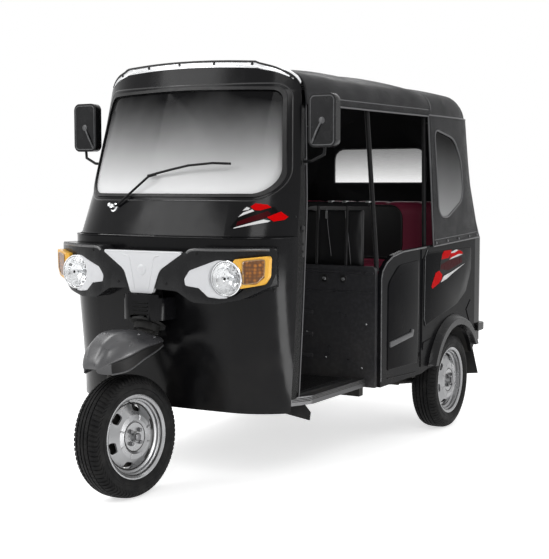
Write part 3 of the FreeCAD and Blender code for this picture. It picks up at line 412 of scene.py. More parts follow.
@dataclass(frozen=True)
class Rubber(Finish):
    """Moulded rubber, greyed where dust has settled in its pores."""

    dust: float = 0.5

    def wire(self, graph: Graph, shader: bpy.types.Node) -> None:
        """Wires a bloom of dust and a dull, pitted surface.

        Args:
            graph: the material's graph.
            shader: the surface's shader.
        """
        bloom = graph.span(graph.noise(24.0, 6.0), 0.4, 0.7, 0.0, self.dust)
        colour = graph.mix(bloom, self.tinted(1.0), RUBBER_BLOOM)
        self.cover(graph, shader, colour, graph.noise(40.0), 0.06, 0.08)
        self.bump(graph, shader, graph.noise(500.0, 3.0), 0.2, 0.0005)


@dataclass(frozen=True)
class Vinyl(Finish):
    """Upholstery vinyl with a pebbled grain and darker creases."""

    grain: float = 420.0

    def wire(self, graph: Graph, shader: bpy.types.Node) -> None:
        """Wires the grain into colour, sheen and relief.

        Args:
            graph: the material's graph.
            shader: the surface's shader.
        """
        pebbles = place_effect(graph, Effect.GRAIN, scale=self.grain)
        shade = graph.mix(pebbles.outputs["Mask"], self.tinted(1.15), self.tinted(0.8))
        rub = place_effect(graph, Effect.MOTTLE, scale=5.0, contrast=0.5).outputs["Mask"]
        graph.feed(shader.inputs["Base Color"], graph.mix(rub, shade, self.tinted(1.35)))
        rough = graph.span(pebbles.outputs["Mask"], 0.0, 1.0, self.roughness - 0.05, self.roughness + 0.12)
        graph.feed(shader.inputs["Roughness"], rough)
        self.bump(graph, shader, pebbles.outputs["Height"], 0.35, 0.0006)


@dataclass(frozen=True)
class Canvas(Finish):
    """Coated hood canvas: a fine weave under its coating, chalky where it is rubbed."""

    threads: float = 3600.0

    def wire(self, graph: Graph, shader: bpy.types.Node) -> None:
        """Wires the weave, a soft unevenness and the coating's sheen.

        Args:
            graph: the material's graph.
            shader: the surface's shader.
        """
        weave = place_effect(graph, Effect.WEAVE, scale=self.threads)
        shade = graph.mix(weave.outputs["Mask"], self.tinted(0.82), self.tinted(1.12))
        chalk = place_effect(graph, Effect.MOTTLE, scale=4.0, contrast=0.7).outputs["Mask"]
        creases = graph.noise(11.0, 3.0)
        self.cover(graph, shader, graph.mix(chalk, shade, self.tinted(1.45)), creases, 0.06, 0.08)
        ripple = graph.math("MULTIPLY", creases, 6.0)
        height = graph.math("ADD", weave.outputs["Height"], ripple)
        self.bump(graph, shader, height, 0.35, 0.0008)
        shader.inputs["Sheen Weight"].default_value = 0.02


@dataclass(frozen=True)
class Metal(Finish):
    """Bare or plated metal with drawn marks along an axis."""

    stretch: Place = (1.0, 1.0, 1.0)
    scratch: float = 0.12
    tarnish: float = 0.3

    def wire(self, graph: Graph, shader: bpy.types.Node) -> None:
        """Wires drawn marks, dulled patches and the metal's shine.

        Args:
            graph: the material's graph.
            shader: the surface's shader.
        """
        lines = graph.noise(160.0, 3.0, self.stretch)
        dull = place_effect(graph, Effect.MOTTLE, scale=12.0, contrast=self.tarnish).outputs["Mask"]
        colour = graph.mix(dull, self.tinted(1.0), self.tinted(0.6))
        self.cover(graph, shader, colour, lines, 0.05, self.scratch)
        shader.inputs["Metallic"].default_value = 1.0
        self.bump(graph, shader, lines, 0.08, 0.0004)


@dataclass(frozen=True)
class GradedGlass(Finish):
    """Clear sheet with a painted reflection of the sky low down, grading towards its head to painted shade of
    the dark inside, which also shows partly through it.

    Sill and head are the heights where the grading starts and ends, and each has a colour and a cover.
    """

    sill: float = 1.2
    head: float = 1.6
    sky_reflection_colour: Colour = (0.8, 0.81, 0.82)
    low_cover: float = 0.95
    high_cover: float = 0.8
    curve: float = 1.0

    def wire(self, graph: Graph, shader: bpy.types.Node) -> None:
        """Wires the grading from painted reflection to painted shade, faint wiped smears and a hard gloss.

        Args:
            graph: the material's graph.
            shader: the surface's shader.
        """
        height = graph.axes().outputs["Z"]
        climb = graph.span(height, self.sill, self.head, 0.0, 1.0)
        left = graph.math("POWER", graph.math("SUBTRACT", 1.0, climb), self.curve)
        climb = graph.math("SUBTRACT", 1.0, left)
        smear = graph.span(graph.noise(3.0, 3.0), 0.3, 0.7, -0.03, 0.03)
        climb = graph.math("ADD", climb, smear)
        # Painted reflection low down, grading to the sheet's own colour, which paints the shade of the inside
        # towards its head.
        colour = graph.mix(climb, (*self.sky_reflection_colour, 1.0), self.tinted(1.0))
        graph.feed(shader.inputs["Base Color"], colour)
        graph.feed(shader.inputs["Alpha"], graph.span(climb, 0.0, 1.0, self.low_cover, self.high_cover))
        graph.feed(shader.inputs["Roughness"], graph.span(graph.noise(20.0), 0.3, 0.7, 0.03, 0.09))


@dataclass(frozen=True)
class ClearLens(Finish):
    """Clear or tinted lamp plastic, with moulding ripples."""

    ripple: float = 60.0

    def wire(self, graph: Graph, shader: bpy.types.Node) -> None:
        """Wires slight ripples and lets the light through.

        Args:
            graph: the material's graph.
            shader: the surface's shader.
        """
        shader.inputs["Transmission Weight"].default_value = 1.0
        shader.inputs["IOR"].default_value = 1.46
        tone = graph.mix(graph.noise(25.0), self.tinted(1.0), self.tinted(0.94))
        graph.feed(shader.inputs["Base Color"], tone)
        self.bump(graph, shader, graph.noise(self.ripple, 1.0), 0.06, 0.001)


@dataclass(frozen=True)
class FacetedLens(Finish):
    """Tinted lens over a patterned reflector: facets with painted glints between darker joints."""

    cells: float = 150.0
    flash: float = 1.9

    def wire(self, graph: Graph, shader: bpy.types.Node) -> None:
        """Wires small facets into colour with painted glints, and relief.

        Args:
            graph: the material's graph.
            shader: the surface's shader.
        """
        inputs = {"Vector": graph.object_place(), "Scale": self.cells, "Randomness": 0.35}
        cells = graph.add("TexVoronoi", inputs)
        facet = graph.span(cells.outputs["Distance"], 0.0, 0.62, 0.0, 1.0)
        # Each facet gets a painted glint, brighter by up to the flash factor.
        glint = graph.add("SeparateColor", {0: cells.outputs["Color"]}).outputs[0]
        colour = graph.mix(glint, self.tinted(0.75), self.tinted(self.flash))
        graph.feed(shader.inputs["Base Color"], graph.mix(facet, colour, self.tinted(0.45)))
        graph.feed(shader.inputs["Roughness"], graph.span(facet, 0.0, 1.0, 0.08, 0.25))
        shader.inputs["Coat Weight"].default_value = 1.0
        shader.inputs["Coat Roughness"].default_value = 0.03
        self.bump(graph, shader, cells.outputs["Distance"], 0.5, 0.002)


CAB_PAINT = Paint("cab_inner_paint", (0.024, 0.024, 0.026), 0.3, 0.0, 0.25, 0.3, reflectance=0.3)
BLACK_PAINT = Paint("charcoal_gloss_paint", (0.0045, 0.0045, 0.0052), 0.16, 0.0, 0.1, 0.2, reflectance=0.13)
SIDE_PAINT = Paint("charcoal_panel_paint", (0.0045, 0.0046, 0.0055), 0.2, 0.0, 0.1, 0.2, reflectance=0.03)
BEAD_PAINT = Paint("screen_bead_paint", (0.0045, 0.0045, 0.0052), 0.18, 0.0, 0.1, 0.2, reflectance=0.6)
# Lighter paint for rolled edges, ledges, lips and borders: a painted highlight, with some real dust and wear.
HIGHLIGHT_EDGE_PAINT = Paint("worn_ledge_paint", (0.07, 0.071, 0.074), 0.34, 0.0, 0.15, 0.5, reflectance=0.4)
FRAME_PAINT = Paint("black_frame_paint", (0.007, 0.007, 0.0075), 0.36, 0.0, 0.25, 0.5, reflectance=0.14)
UNDER_PAINT = Paint("underbody_paint", (0.008, 0.008, 0.008), 0.6, 0.0, 0.35, 0.4, reflectance=0.2)
WHEEL_SILVER = Paint("silver_wheel_paint", (0.34, 0.343, 0.35), 0.28, 0.15, 0.12, metallic=0.75)
MUDGUARD_PLASTIC = MouldedPlastic("mudguard_plastic", (0.042, 0.042, 0.045), 0.30, 0.2, 0.08, reflectance=0.8)
MASK_PLASTIC = MouldedPlastic("dark_grey_plastic", (0.0075, 0.0077, 0.0085), 0.24, 0.12, 0.12,
                              reflectance=0.2)
# Lighter plastic for the mask's rolled rim: a painted highlight.
RIM_HIGHLIGHT_PLASTIC = MouldedPlastic("mask_rim_plastic", (0.05, 0.05, 0.052), 0.3, 0.1, 0.1, reflectance=0.7)
SILVER_PLASTIC = MouldedPlastic("silver_plastic", (0.44, 0.445, 0.455), 0.3, 0.06, 0.0, 0.2)
GRIP_RUBBER = Rubber("grip_rubber", (0.012, 0.012, 0.012), 0.7)
SEAL_RUBBER = Rubber("seal_rubber", (0.009, 0.009, 0.0095), 0.4, 0.08, reflectance=0.3)
FLAP_RUBBER = Rubber("flap_rubber", (0.008, 0.008, 0.008), 0.55, 0.15, reflectance=0.25)
TYRE_RUBBER = Rubber("tyre_rubber", (0.006, 0.006, 0.0063), 0.6, 0.12, reflectance=0.12)
BLACK_VINYL = Vinyl("black_seat_vinyl", (0.007, 0.007, 0.0075), 0.38, reflectance=0.3)
MAROON_VINYL = Vinyl("maroon_seat_vinyl", (0.21, 0.022, 0.052), 0.42, reflectance=0.3)
HOOD_CANVAS = Canvas("hood_canvas", (0.0125, 0.0127, 0.0138), 0.46, reflectance=0.11)
PIPING = Vinyl("piping_vinyl", (0.075, 0.075, 0.079), 0.36, 700.0)
BRIGHT_TRIM = Metal("bright_trim", (0.82, 0.83, 0.84), 0.22, (0.02, 1.0, 1.0))
CHROME = Metal("chrome_plate", (0.78, 0.79, 0.8), 0.08, scratch=0.03, tarnish=0.1)
BRUSHED = Metal("brushed_aluminium", (0.42, 0.425, 0.43), 0.34, (1.0, 0.02, 1.0))
SILL_METAL = Metal("dulled_sill_metal", (0.11, 0.11, 0.112), 0.45, (1.0, 0.02, 1.0))
BOLT_STEEL = Metal("dulled_bolt_steel", (0.16, 0.16, 0.165), 0.3, tarnish=0.5)
CAST_ALLOY = Metal("cast_alloy", (0.2, 0.2, 0.21), 0.55, scratch=0.2, tarnish=0.8)
EXHAUST_STEEL = Metal("exhaust_steel", (0.09, 0.085, 0.08), 0.55, tarnish=0.9)
LAMP_LENS = ClearLens("clear_lamp_lens", (0.98, 0.985, 0.99), 0.04)
AMBER_LENS = FacetedLens("amber_lens", (0.22, 0.078, 0.007), 0.15, 60.0, 1.4, reflectance=0.3)
AMBER_DEEP = FacetedLens("amber_lens_window", (0.26, 0.085, 0.004), 0.15, 70.0, 2.4, reflectance=0.05)
# Pale amber laid round the lamps' edges: a painted highlight.
AMBER_HIGHLIGHT = FacetedLens("amber_lens_border", (0.50, 0.25, 0.060), 0.12, 90.0, 1.1, reflectance=0.6)
RED_LENS = FacetedLens("red_lens", (0.3, 0.008, 0.008), 0.15)
WHITE_LENS = FacetedLens("white_lens", (0.6, 0.6, 0.6), 0.15)
REFLECTOR = Metal("lamp_reflector", (0.78, 0.785, 0.79), 0.12, scratch=0.05, tarnish=0.5)
SCREEN_GLASS = GradedGlass("windscreen_glass", (0.006, 0.006, 0.0065), sill=1.2, head=1.63, reflectance=0.04,
                           sky_reflection_colour=(0.97, 0.975, 0.98), high_cover=0.985, low_cover=0.95, curve=1.8)
REAR_CLEAR = GradedGlass("rear_clear_vinyl", (0.12, 0.121, 0.124), sill=1.254, head=1.448, reflectance=0.2,
                         sky_reflection_colour=(0.97, 0.975, 0.98), high_cover=0.55, low_cover=0.05, curve=1.2)
SIDE_CLEAR = GradedGlass("side_clear_vinyl", (0.002, 0.002, 0.002), sill=1.086, head=1.5, reflectance=0.02,
                         sky_reflection_colour=(0.38, 0.384, 0.388), high_cover=0.998, low_cover=0.975, curve=1.5)
STRIPE_RED = MouldedPlastic("red_stripe_film", (0.60, 0.002, 0.003), 0.3, 0.05, 0.05, reflectance=0.01)
STRIPE_DEEP = MouldedPlastic("deep_red_stripe_film", (0.05, 0.003, 0.005), 0.3, 0.05, 0.05, reflectance=0.02)
STRIPE_WHITE = MouldedPlastic("white_stripe_film", (0.72, 0.72, 0.72), 0.3, 0.05, 0.05, reflectance=0.2)
STRIPE_BLACK = MouldedPlastic("black_stripe_film", (0.002, 0.002, 0.002), 0.3, 0.05, 0.0, reflectance=0.05)


# ---------------------------------------------------------------- making pieces


@dataclass
class Dressing:
    """How a finished mesh joins the model: what it is called, rides on, and wears."""

    name: str
    finish: Finish
    body: Body = Body.SHELL
    slot: str = "black_paint"
    replaces: tuple[str, ...] = ()
    smooth_angle: float = 32.0


def place_piece(mesh: bpy.types.Mesh, dressing: Dressing) -> bpy.types.Object:
    """Makes a finished mesh a piece of the model.

    Args:
        mesh: the mesh, already in its place in the frame.
        dressing: its name, body and finish; its slot is not used.

    Returns:
        The piece's object, at the origin.
    """
    piece = bpy.data.objects.new(dressing.name, mesh)
    bpy.context.scene.collection.objects.link(piece)
    mesh.materials.clear()
    mesh.materials.append(dressing.finish.material())
    mesh.shade_smooth()
    mesh.set_sharp_from_angle(angle=math.radians(dressing.smooth_angle))
    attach(piece, dressing.body.value)
    if dressing.replaces:
        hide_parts(*dressing.replaces)
    log.info("%s: %d faces", dressing.name, len(mesh.polygons))
    return piece


def finish_mesh(bm: bmesh.types.BMesh, dressing: Dressing) -> bpy.types.Object:
    """Turns a bmesh into a piece, its faces outward.

    Args:
        bm: the finished bmesh, freed here.
        dressing: how it joins the model.

    Returns:
        The piece's object.
    """
    bmesh.ops.recalc_face_normals(bm, faces=bm.faces)
    mesh = bpy.data.meshes.new(dressing.name)
    bm.to_mesh(mesh)
    bm.free()
    return place_piece(mesh, dressing)


def join_meshes(parts: Iterable[bmesh.types.BMesh]) -> bmesh.types.BMesh:
    """Several bmeshes as one, each freed.

    Args:
        parts: the bmeshes.

    Returns:
        One bmesh with all their faces.
    """
    whole = bmesh.new()
    for part in parts:
        carrier = bpy.data.meshes.new("carrier")
        part.to_mesh(carrier)
        part.free()
        whole.from_mesh(carrier)
        bpy.data.meshes.remove(carrier)
    return whole


def finish_pair(bm: bmesh.types.BMesh, dressing: Dressing) -> bpy.types.Object:
    """Turns a bmesh and its mirror image on the vehicle's other side into one piece.

    Args:
        bm: the left side's bmesh, freed here.
        dressing: how the piece joins the model.

    Returns:
        The piece's object.
    """
    other = bm.copy()
    bmesh.ops.scale(other, vec=(-1, 1, 1), verts=other.verts)
    bmesh.ops.reverse_faces(other, faces=other.faces)
    return finish_mesh(join_meshes([bm, other]), dressing)


def round_rims(bm: bmesh.types.BMesh, edges: Sequence[bmesh.types.BMEdge], width: float,
               segments: int = 2) -> None:
    """Rounds edges of a bmesh by a width."""
    bmesh.ops.bevel(bm, geom=edges, offset=width, segments=segments, profile=0.5, affect="EDGES", material=-1)


def turned_profile(points: Sequence[tuple[float, float]], steps: int = 32) -> bmesh.types.BMesh:
    """A solid turned about the X axis from a profile.

    Args:
        points: the profile as (place along X, radius), from end to end.
        steps: how many faces go round.

    Returns:
        The turned bmesh, about the origin.
    """
    bm = bmesh.new()
    verts = [bm.verts.new((along, 0.0, radius)) for along, radius in points]
    edges = [bm.edges.new(pair) for pair in zip(verts, verts[1:])]
    bmesh.ops.spin(bm, geom=verts + edges, axis=LEFT, angle=math.tau, steps=steps, use_merge=True)
    bmesh.ops.remove_doubles(bm, verts=bm.verts, dist=1e-5)
    return bm


def facing(place: Vector, direction: Vector) -> Matrix:
    """The transform that carries the X axis onto a direction, with the origin at a place."""
    turn = direction.to_track_quat("X", "Z").to_matrix().to_4x4()
    return Matrix.Translation(place) @ turn


def moved(bm: bmesh.types.BMesh, carry: Matrix) -> bmesh.types.BMesh:
    """The bmesh, carried by a transform."""
    bmesh.ops.transform(bm, matrix=carry, verts=bm.verts)
    return bm


def rounded_block(size: Place, radius: float, segments: int = 2) -> bmesh.types.BMesh:
    """A block with rounded edges about the origin.

    Args:
        size: its three sides.
        radius: how far its edges are rounded.
        segments: how many faces go round an edge.

    Returns:
        The block's bmesh.
    """
    bm = bmesh.new()
    bmesh.ops.create_cube(bm, size=1.0)
    bmesh.ops.scale(bm, vec=size, verts=bm.verts)
    round_rims(bm, bm.edges, radius, segments)
    return bm


def plate(outline: Sequence[Vector], thickness: Vector, rim: float = 0.0) -> bmesh.types.BMesh:
    """A flat plate drawn as an outline and given a thickness.

    Args:
        outline: its corners in order.
        thickness: the way and the distance that it is thickened.
        rim: how far its front edge is rounded.

    Returns:
        The plate's bmesh.
    """
    bm = bmesh.new()
    face = bm.faces.new([bm.verts.new(point) for point in outline])
    made = bmesh.ops.extrude_face_region(bm, geom=[face], use_keep_orig=True)["geom"]
    front = [item for item in made if isinstance(item, bmesh.types.BMVert)]
    bmesh.ops.translate(bm, vec=thickness, verts=front)
    bmesh.ops.recalc_face_normals(bm, faces=bm.faces)
    if rim:
        round_rims(bm, [edge for edge in bm.edges if all(vert in front for vert in edge.verts)], rim)
    return bm


def rounded_outline(corners: Sequence[tuple[Vector, float]], steps: int = 6) -> list[Vector]:
    """A closed outline whose corners are arcs.

    Args:
        corners: each corner with its radius.
        steps: how many runs make an arc.

    Returns:
        The outline's points.
    """
    points = []
    for i, (corner, radius) in enumerate(corners):
        before = (corners[i - 1][0] - corner).normalized()
        after = (corners[(i + 1) % len(corners)][0] - corner).normalized()
        if not radius:
            points.append(corner)
            continue
        half = before.angle(after) / 2
        reach = radius / math.tan(half)
        centre = corner + (before + after).normalized() * (radius / math.sin(half))
        start, end = corner + before * reach - centre, corner + after * reach - centre
        points += [centre + start.slerp(end, k / steps) * radius for k in range(steps + 1)]
    return points


def tube(points: Sequence[Vector], radius: float, closed: bool = False,
         smooth: bool = False) -> bmesh.types.BMesh:
    """A round bar bent along points.

    Args:
        points: the points that it follows.
        radius: the bar's radius.
        closed: whether its end joins its start.
        smooth: whether the points only steer a smooth curve.

    Returns:
        The bar's bmesh.
    """
    curve = bpy.data.curves.new("route", "CURVE")
    curve.dimensions = "3D"
    curve.bevel_depth = radius
    curve.bevel_resolution = 2
    curve.use_fill_caps = True
    spline = curve.splines.new("NURBS" if smooth else "POLY")
    spline.points.add(len(points) - 1)
    for control, point in zip(spline.points, points):
        control.co = (*point, 1.0)
    spline.use_cyclic_u = closed
    if smooth:
        spline.order_u = 4
        spline.use_endpoint_u = not closed
        spline.resolution_u = 6
    holder = bpy.data.objects.new("route", curve)
    mesh = bpy.data.meshes.new_from_object(holder)
    bm = bmesh.new()
    bm.from_mesh(mesh)
    bpy.data.objects.remove(holder)
    bpy.data.curves.remove(curve)
    bpy.data.meshes.remove(mesh)
    bmesh.ops.remove_doubles(bm, verts=bm.verts, dist=1e-5)
    return bm


def screw_head(place: Vector, outward: Vector, radius: float = 0.006) -> bmesh.types.BMesh:
    """A small domed screw head.

    Args:
        place: where it sits.
        outward: the way it faces.
        radius: its radius.

    Returns:
        The head's bmesh.
    """
    profile = [(-0.002, radius), (0.3 * radius, radius), (0.55 * radius, 0.72 * radius), (0.6 * radius, 0.0)]
    return moved(turned_profile(profile, 12), facing(place, outward))


class Skin:
    """The outer faces of some nodes, for trim that lies on them."""

    def __init__(self, *nodes: str) -> None:
        """Reads the nodes' faces.

        Args:
            *nodes: the nodes' names.
        """
        points, faces = [], []
        for name in nodes:
            mesh = frame["nodes"][name].data
            start = len(points)
            points += [vert.co.copy() for vert in mesh.vertices]
            faces += [[start + i for i in face.vertices] for face in mesh.polygons]
        self.tree = BVHTree.FromPolygons(points, faces)

    def hit(self, point: Vector, heading: Vector, lift: float = 0.0) -> tuple[Vector, Vector] | None:
        """Where a line that passes through a point first meets the skin.

        Args:
            point: a point on the line.
            heading: the way it travels, from outside the skin.
            lift: how far to stand off along the skin's normal.

        Returns:
            The place and the outward normal, or None where the line misses.
        """
        heading = heading.normalized()
        place, normal, _, _ = self.tree.ray_cast(point - heading * 2.0, heading)
        if place is None:
            return None
        if normal.dot(heading) > 0:
            normal = -normal
        return place + normal * lift, normal

    def route(self, points: Iterable[Vector], heading: Vector, lift: float = 0.0) -> list[Vector]:
        """Points carried onto the skin, those that miss it left out."""
        hits = [self.hit(point, heading, lift) for point in points]
        return [found[0] for found in hits if found]

    def screws(self, points: Iterable[Vector], heading: Vector, radius: float) -> bmesh.types.BMesh:
        """Screw heads where lines through some points meet the skin."""
        hits = [self.hit(point, heading) for point in points]
        return join_meshes([screw_head(*found, radius) for found in hits if found])

    def lay(self, bm: bmesh.types.BMesh, heading: Vector, lift: float) -> bmesh.types.BMesh:
        """Lays a flat mesh on the skin.

        Args:
            bm: the mesh.
            heading: the way it is pressed on.
            lift: how far it stands off.

        Returns:
            The same bmesh, its verts that miss the skin taken out.
        """
        missed = []
        for vert in bm.verts:
            found = self.hit(vert.co, heading, lift)
            if found:
                vert.co = found[0]
            else:
                missed.append(vert)
        bmesh.ops.delete(bm, geom=missed, context="VERTS")
        return bm


def node_box(name: str) -> tuple[Vector, Vector]:
    """A node's lowest and highest corners."""
    low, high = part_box(name)
    return Vector(low), Vector(high)


def from_ahead(points: Iterable[tuple[float, float]]) -> list[Vector]:
    """Places across and up, to be pressed on a skin from ahead."""
    return [Vector((x, 0.0, z)) for x, z in points]


def stations(start: Vector, end: Vector, count: int) -> list[Vector]:
    """Even places from a start to an end, both included."""
    return [start.lerp(end, i / (count - 1)) for i in range(count)]


def spread(start: float, end: float, count: int) -> list[float]:
    """Even numbers from a start to an end, both included."""
    return [start + (end - start) * i / (count - 1) for i in range(count)]


def dense(points: Sequence[Vector], spacing: float = 0.012, closed: bool = False) -> list[Vector]:
    """Points with more points between them, at most a spacing apart.

    Args:
        points: the points.
        spacing: the largest gap to leave.
        closed: whether the last joins the first.

    Returns:
        The denser points.
    """
    ends = list(points[1:]) + ([points[0]] if closed else [])
    route = []
    for start, end in zip(points, ends):
        count = max(1, math.ceil((end - start).length / spacing))
        route += [start.lerp(end, i / count) for i in range(count)]
    if not closed:
        route.append(points[-1])
    return route


@dataclass
class CarriedNodes:
    """The finishes of the frame's own nodes, and the roundness of their edges."""

    # Columns: finish, the nodes that wear it.
    finishes: tuple[tuple[Finish, str], ...] = (
        (BLACK_PAINT, "apron screen_frame nose_cowl rear_panel engine_lid"),
        (BRIGHT_TRIM, "header_strip"),
        (SCREEN_GLASS, "windscreen"),
        (SEAL_RUBBER, "windscreen_gasket"),
        (MASK_PLASTIC, "front_fascia wheel_flares rear_bumper mirrors"),
        (SILVER_PLASTIC, "fascia_insert"),
        (REFLECTOR, "headlamps"),
        (AMBER_LENS, "indicators"),
        (UNDER_PAINT, "chassis_rails cross_members steering_head trailing_arms wheel_wells front_fork"),
        (UNDER_PAINT, "shock_absorbers"),
        (CAB_PAINT, "driver_floor bulkhead bench_box"),
        (SILL_METAL, "sill_trims"),
        (CAST_ALLOY, "engine"),
        (EXHAUST_STEEL, "exhaust"),
        (FLAP_RUBBER, "mud_flaps"),
        (RED_LENS, "tail_lamps"),
        (BLACK_VINYL, "driver_seat driver_backrest"),
        (FRAME_PAINT, "driver_seat_box roof_frame posts partition_rail mirror_arms wiper handlebar"),
        (MAROON_VINYL, "bench_cushion bench_backrest"),
        (HOOD_CANVAS, "hood"),
        (SIDE_CLEAR, "side_windows"),
        (REAR_CLEAR, "rear_window"),
        (SIDE_PAINT, "body_side_left body_side_right"),
        (MUDGUARD_PLASTIC, "front_mudguard"),
        (TYRE_RUBBER, "front_tyre rear_tyre_left rear_tyre_right"),
        (WHEEL_SILVER, "front_rim rear_rim_left rear_rim_right"),
    )
    # Columns: how far the edges are rounded, the nodes.
    rounded: tuple[tuple[float, str], ...] = (
        (0.011, "front_fascia"),
        (0.0025, "fascia_insert"),
        (0.005, "nose_cowl"),
        (0.002, "indicators sill_trims"),
        (0.0015, "header_strip mud_flaps"),
        (0.006, "mirrors rear_bumper"),
        (0.004, "engine"),
        (0.003, "wheel_flares tail_lamps driver_seat_box"),
    )

    def dress(self) -> None:
        """Gives each node its finish and rounds the edges that would otherwise be sharp."""
        for finish, names in self.finishes:
            for name in names.split():
                materials = frame["nodes"][name].data.materials
                materials.clear()
                materials.append(finish.material())
                log.info("%s wears %s", name, finish.name)
        for width, names in self.rounded:
            for name in names.split():
                self.round_edges(frame["nodes"][name], width)

    def round_edges(self, node: bpy.types.Object, width: float) -> None:
        """Rounds a node's sharp edges with modifiers, its mesh left as it is.

        Args:
            node: the node's object.
            width: how far its edges are rounded.
        """
        weld = node.modifiers.new("weld", "WELD")
        weld.merge_threshold = 2e-5
        bevel = node.modifiers.new("rounded_edges", "BEVEL")
        bevel.width, bevel.segments = width, 3
        bevel.limit_method, bevel.angle_limit = "ANGLE", math.radians(38)
        bevel.harden_normals = True


# ---------------------------------------------------------------- studio


@dataclass
class Studio:
    """Pale floor, white surround, soft lights and the camera."""

    camera_place: Place = (2.8466, -4.7115, 1.2402)
    yaw: float = 30.57
    dip: float = 4.607
    lens: float = 75.06
    sensor: float = 36.0
    floor_size: float = 60.0
    floor_glow: float = 0.62
    world_strength: float = 0.42
    # Columns: name, place, what it points at, width and height, watts.
    lights: tuple[tuple[str, Place, Place, tuple[float, float], float], ...] = (
        ("key_softbox", (3.4, -4.2, 4.6), (0.2, -0.4, 0.9), (2.2, 1.5), 60.0),
        ("front_softbox", (-2.5, -4.4, 3.3), (0.0, -0.8, 1.1), (2.6, 2.0), 85.0),
        ("edge_softbox", (1.82, -0.70, 0.38), (0.52, -0.68, 0.5), (0.45, 0.74), 9.0),
        ("side_softbox", (4.6, 2.6, 4.2), (0.6, 0.4, 0.9), (2.6, 1.6), 30.0),
        ("top_softbox", (-2.2, -0.7, 5.2), (-0.2, -0.3, 1.0), (3.0, 2.0), 80.0),
        ("roof_softbox", (0.4, 1.3, 5.4), (0.0, 0.5, 0.0), (4.0, 2.4), 28.0),
        ("back_softbox", (-3.0, 4.6, 3.2), (0.0, 0.6, 1.0), (3.0, 2.4), 40.0),
    )

    def build(self) -> None:
        """Builds the whole studio."""
        self.add_camera()
        self.add_floor()
        self.add_world()
        for name, place, target, size, power in self.lights:
            self.add_light(name, Vector(place), Vector(target), size, power)
        bpy.context.scene.view_settings.view_transform = "Standard"

    def add_camera(self) -> None:
        """Sets the camera at the studio's three-quarter view."""
        turn, dip = math.radians(self.yaw), math.radians(self.dip)
        heading = Vector((-math.sin(turn) * math.cos(dip), math.cos(turn) * math.cos(dip), -math.sin(dip)))
        camera = bpy.data.objects.new("camera", bpy.data.cameras.new("camera"))
        camera.data.lens = self.lens
        camera.data.sensor_width = self.sensor
        camera.location = self.camera_place
        camera.rotation_euler = heading.to_track_quat("-Z", "Y").to_euler()
        bpy.context.scene.collection.objects.link(camera)
        bpy.context.scene.camera = camera

    def add_floor(self) -> None:
        """Lays a pale floor that shows white to the camera away from the object's shadow."""
        bm = bmesh.new()
        bmesh.ops.create_grid(bm, x_segments=1, y_segments=1, size=self.floor_size / 2)
        mesh = bpy.data.meshes.new("floor")
        bm.to_mesh(mesh)
        bm.free()
        floor = bpy.data.objects.new("floor", mesh)
        bpy.context.scene.collection.objects.link(floor)
        mesh.materials.append(self.floor_material())

    def floor_material(self) -> bpy.types.Material:
        """The floor's paint, white wherever a camera, glossy or glass ray sees it unshaded.

        Returns:
            The material.
        """
        made = bpy.data.materials.new("pale_floor")
        made.use_nodes = True
        made.node_tree.nodes.clear()
        graph = Graph(made.node_tree)
        speckle = graph.mix(graph.noise(30.0), (0.93, 0.93, 0.93, 1.0), (0.95, 0.95, 0.95, 1.0))
        paint = graph.add("BsdfDiffuse", {"Color": speckle})
        glow = graph.add("Emission", {"Color": WHITE, "Strength": self.floor_glow})
        seen = graph.add("AddShader", {0: paint.outputs[0], 1: glow.outputs[0]})
        blend = graph.add("MixShader", {0: self.direct_rays(graph), 1: paint.outputs[0], 2: seen.outputs[0]})
        graph.add("OutputMaterial", {"Surface": blend.outputs[0]})
        return made

    def direct_rays(self, graph: Graph) -> bpy.types.NodeSocket:
        """1 where the camera, a reflection or a view through glass sees the surface.

        Args:
            graph: the graph of the material or the world.

        Returns:
            The socket that tells them apart.
        """
        rays = graph.add("LightPath").outputs
        seen = graph.math("MAXIMUM", rays["Is Camera Ray"], rays["Is Glossy Ray"])
        return graph.math("MAXIMUM", seen, rays["Is Transmission Ray"])

    def add_world(self) -> None:
        """Surrounds the scene with white that lights it plainly."""
        world = bpy.data.worlds.new("studio")
        world.use_nodes = True
        world.node_tree.nodes.clear()
        graph = Graph(world.node_tree)
        seen = graph.add("Background", {"Color": WHITE, "Strength": 1.0})
        light = graph.add("Background", {"Color": WHITE, "Strength": self.world_strength})
        blend = graph.add("MixShader", {0: self.direct_rays(graph), 1: light.outputs[0], 2: seen.outputs[0]})
        graph.add("OutputWorld", {"Surface": blend.outputs[0]})
        bpy.context.scene.world = world

    def add_light(self, name: str, place: Vector, target: Vector, size: tuple[float, float],
                  power: float) -> None:
        """Hangs a soft light.

        Args:
            name: the light's name.
            place: where it hangs.
            target: what it points at.
            size: its width and height.
            power: its power in watts.
        """
        light = bpy.data.lights.new(name, "AREA")
        light.shape = "RECTANGLE"
        light.size, light.size_y = size
        light.energy = power
        holder = bpy.data.objects.new(name, light)
        holder.location = place
        holder.rotation_euler = (target - place).to_track_quat("-Z", "Y").to_euler()
        holder.visible_camera = False
        bpy.context.scene.collection.objects.link(holder)


# ---------------------------------------------------------------- hood


@dataclass(frozen=True)
class Arch:
    """The hood's shape across the vehicle at one place along it."""

    place: float
    shoulder: float
    hem: float
    top: float
    bend_start: float
    bend: float

    def side(self, height: float) -> float:
        """Half the width of the hood's side at a height.

        Args:
            height: the height.

        Returns:
            The half width.
        """
        if height > self.bend_start:
            rise = min(height - self.bend_start, 0.97 * self.bend)
            return self.shoulder - self.bend + math.sqrt(self.bend**2 - rise**2)
        share = (height - HEM_FOOT) / (self.bend_start - HEM_FOOT)
        return self.hem + (self.shoulder - self.hem) * share


HEM_FOOT = 0.932
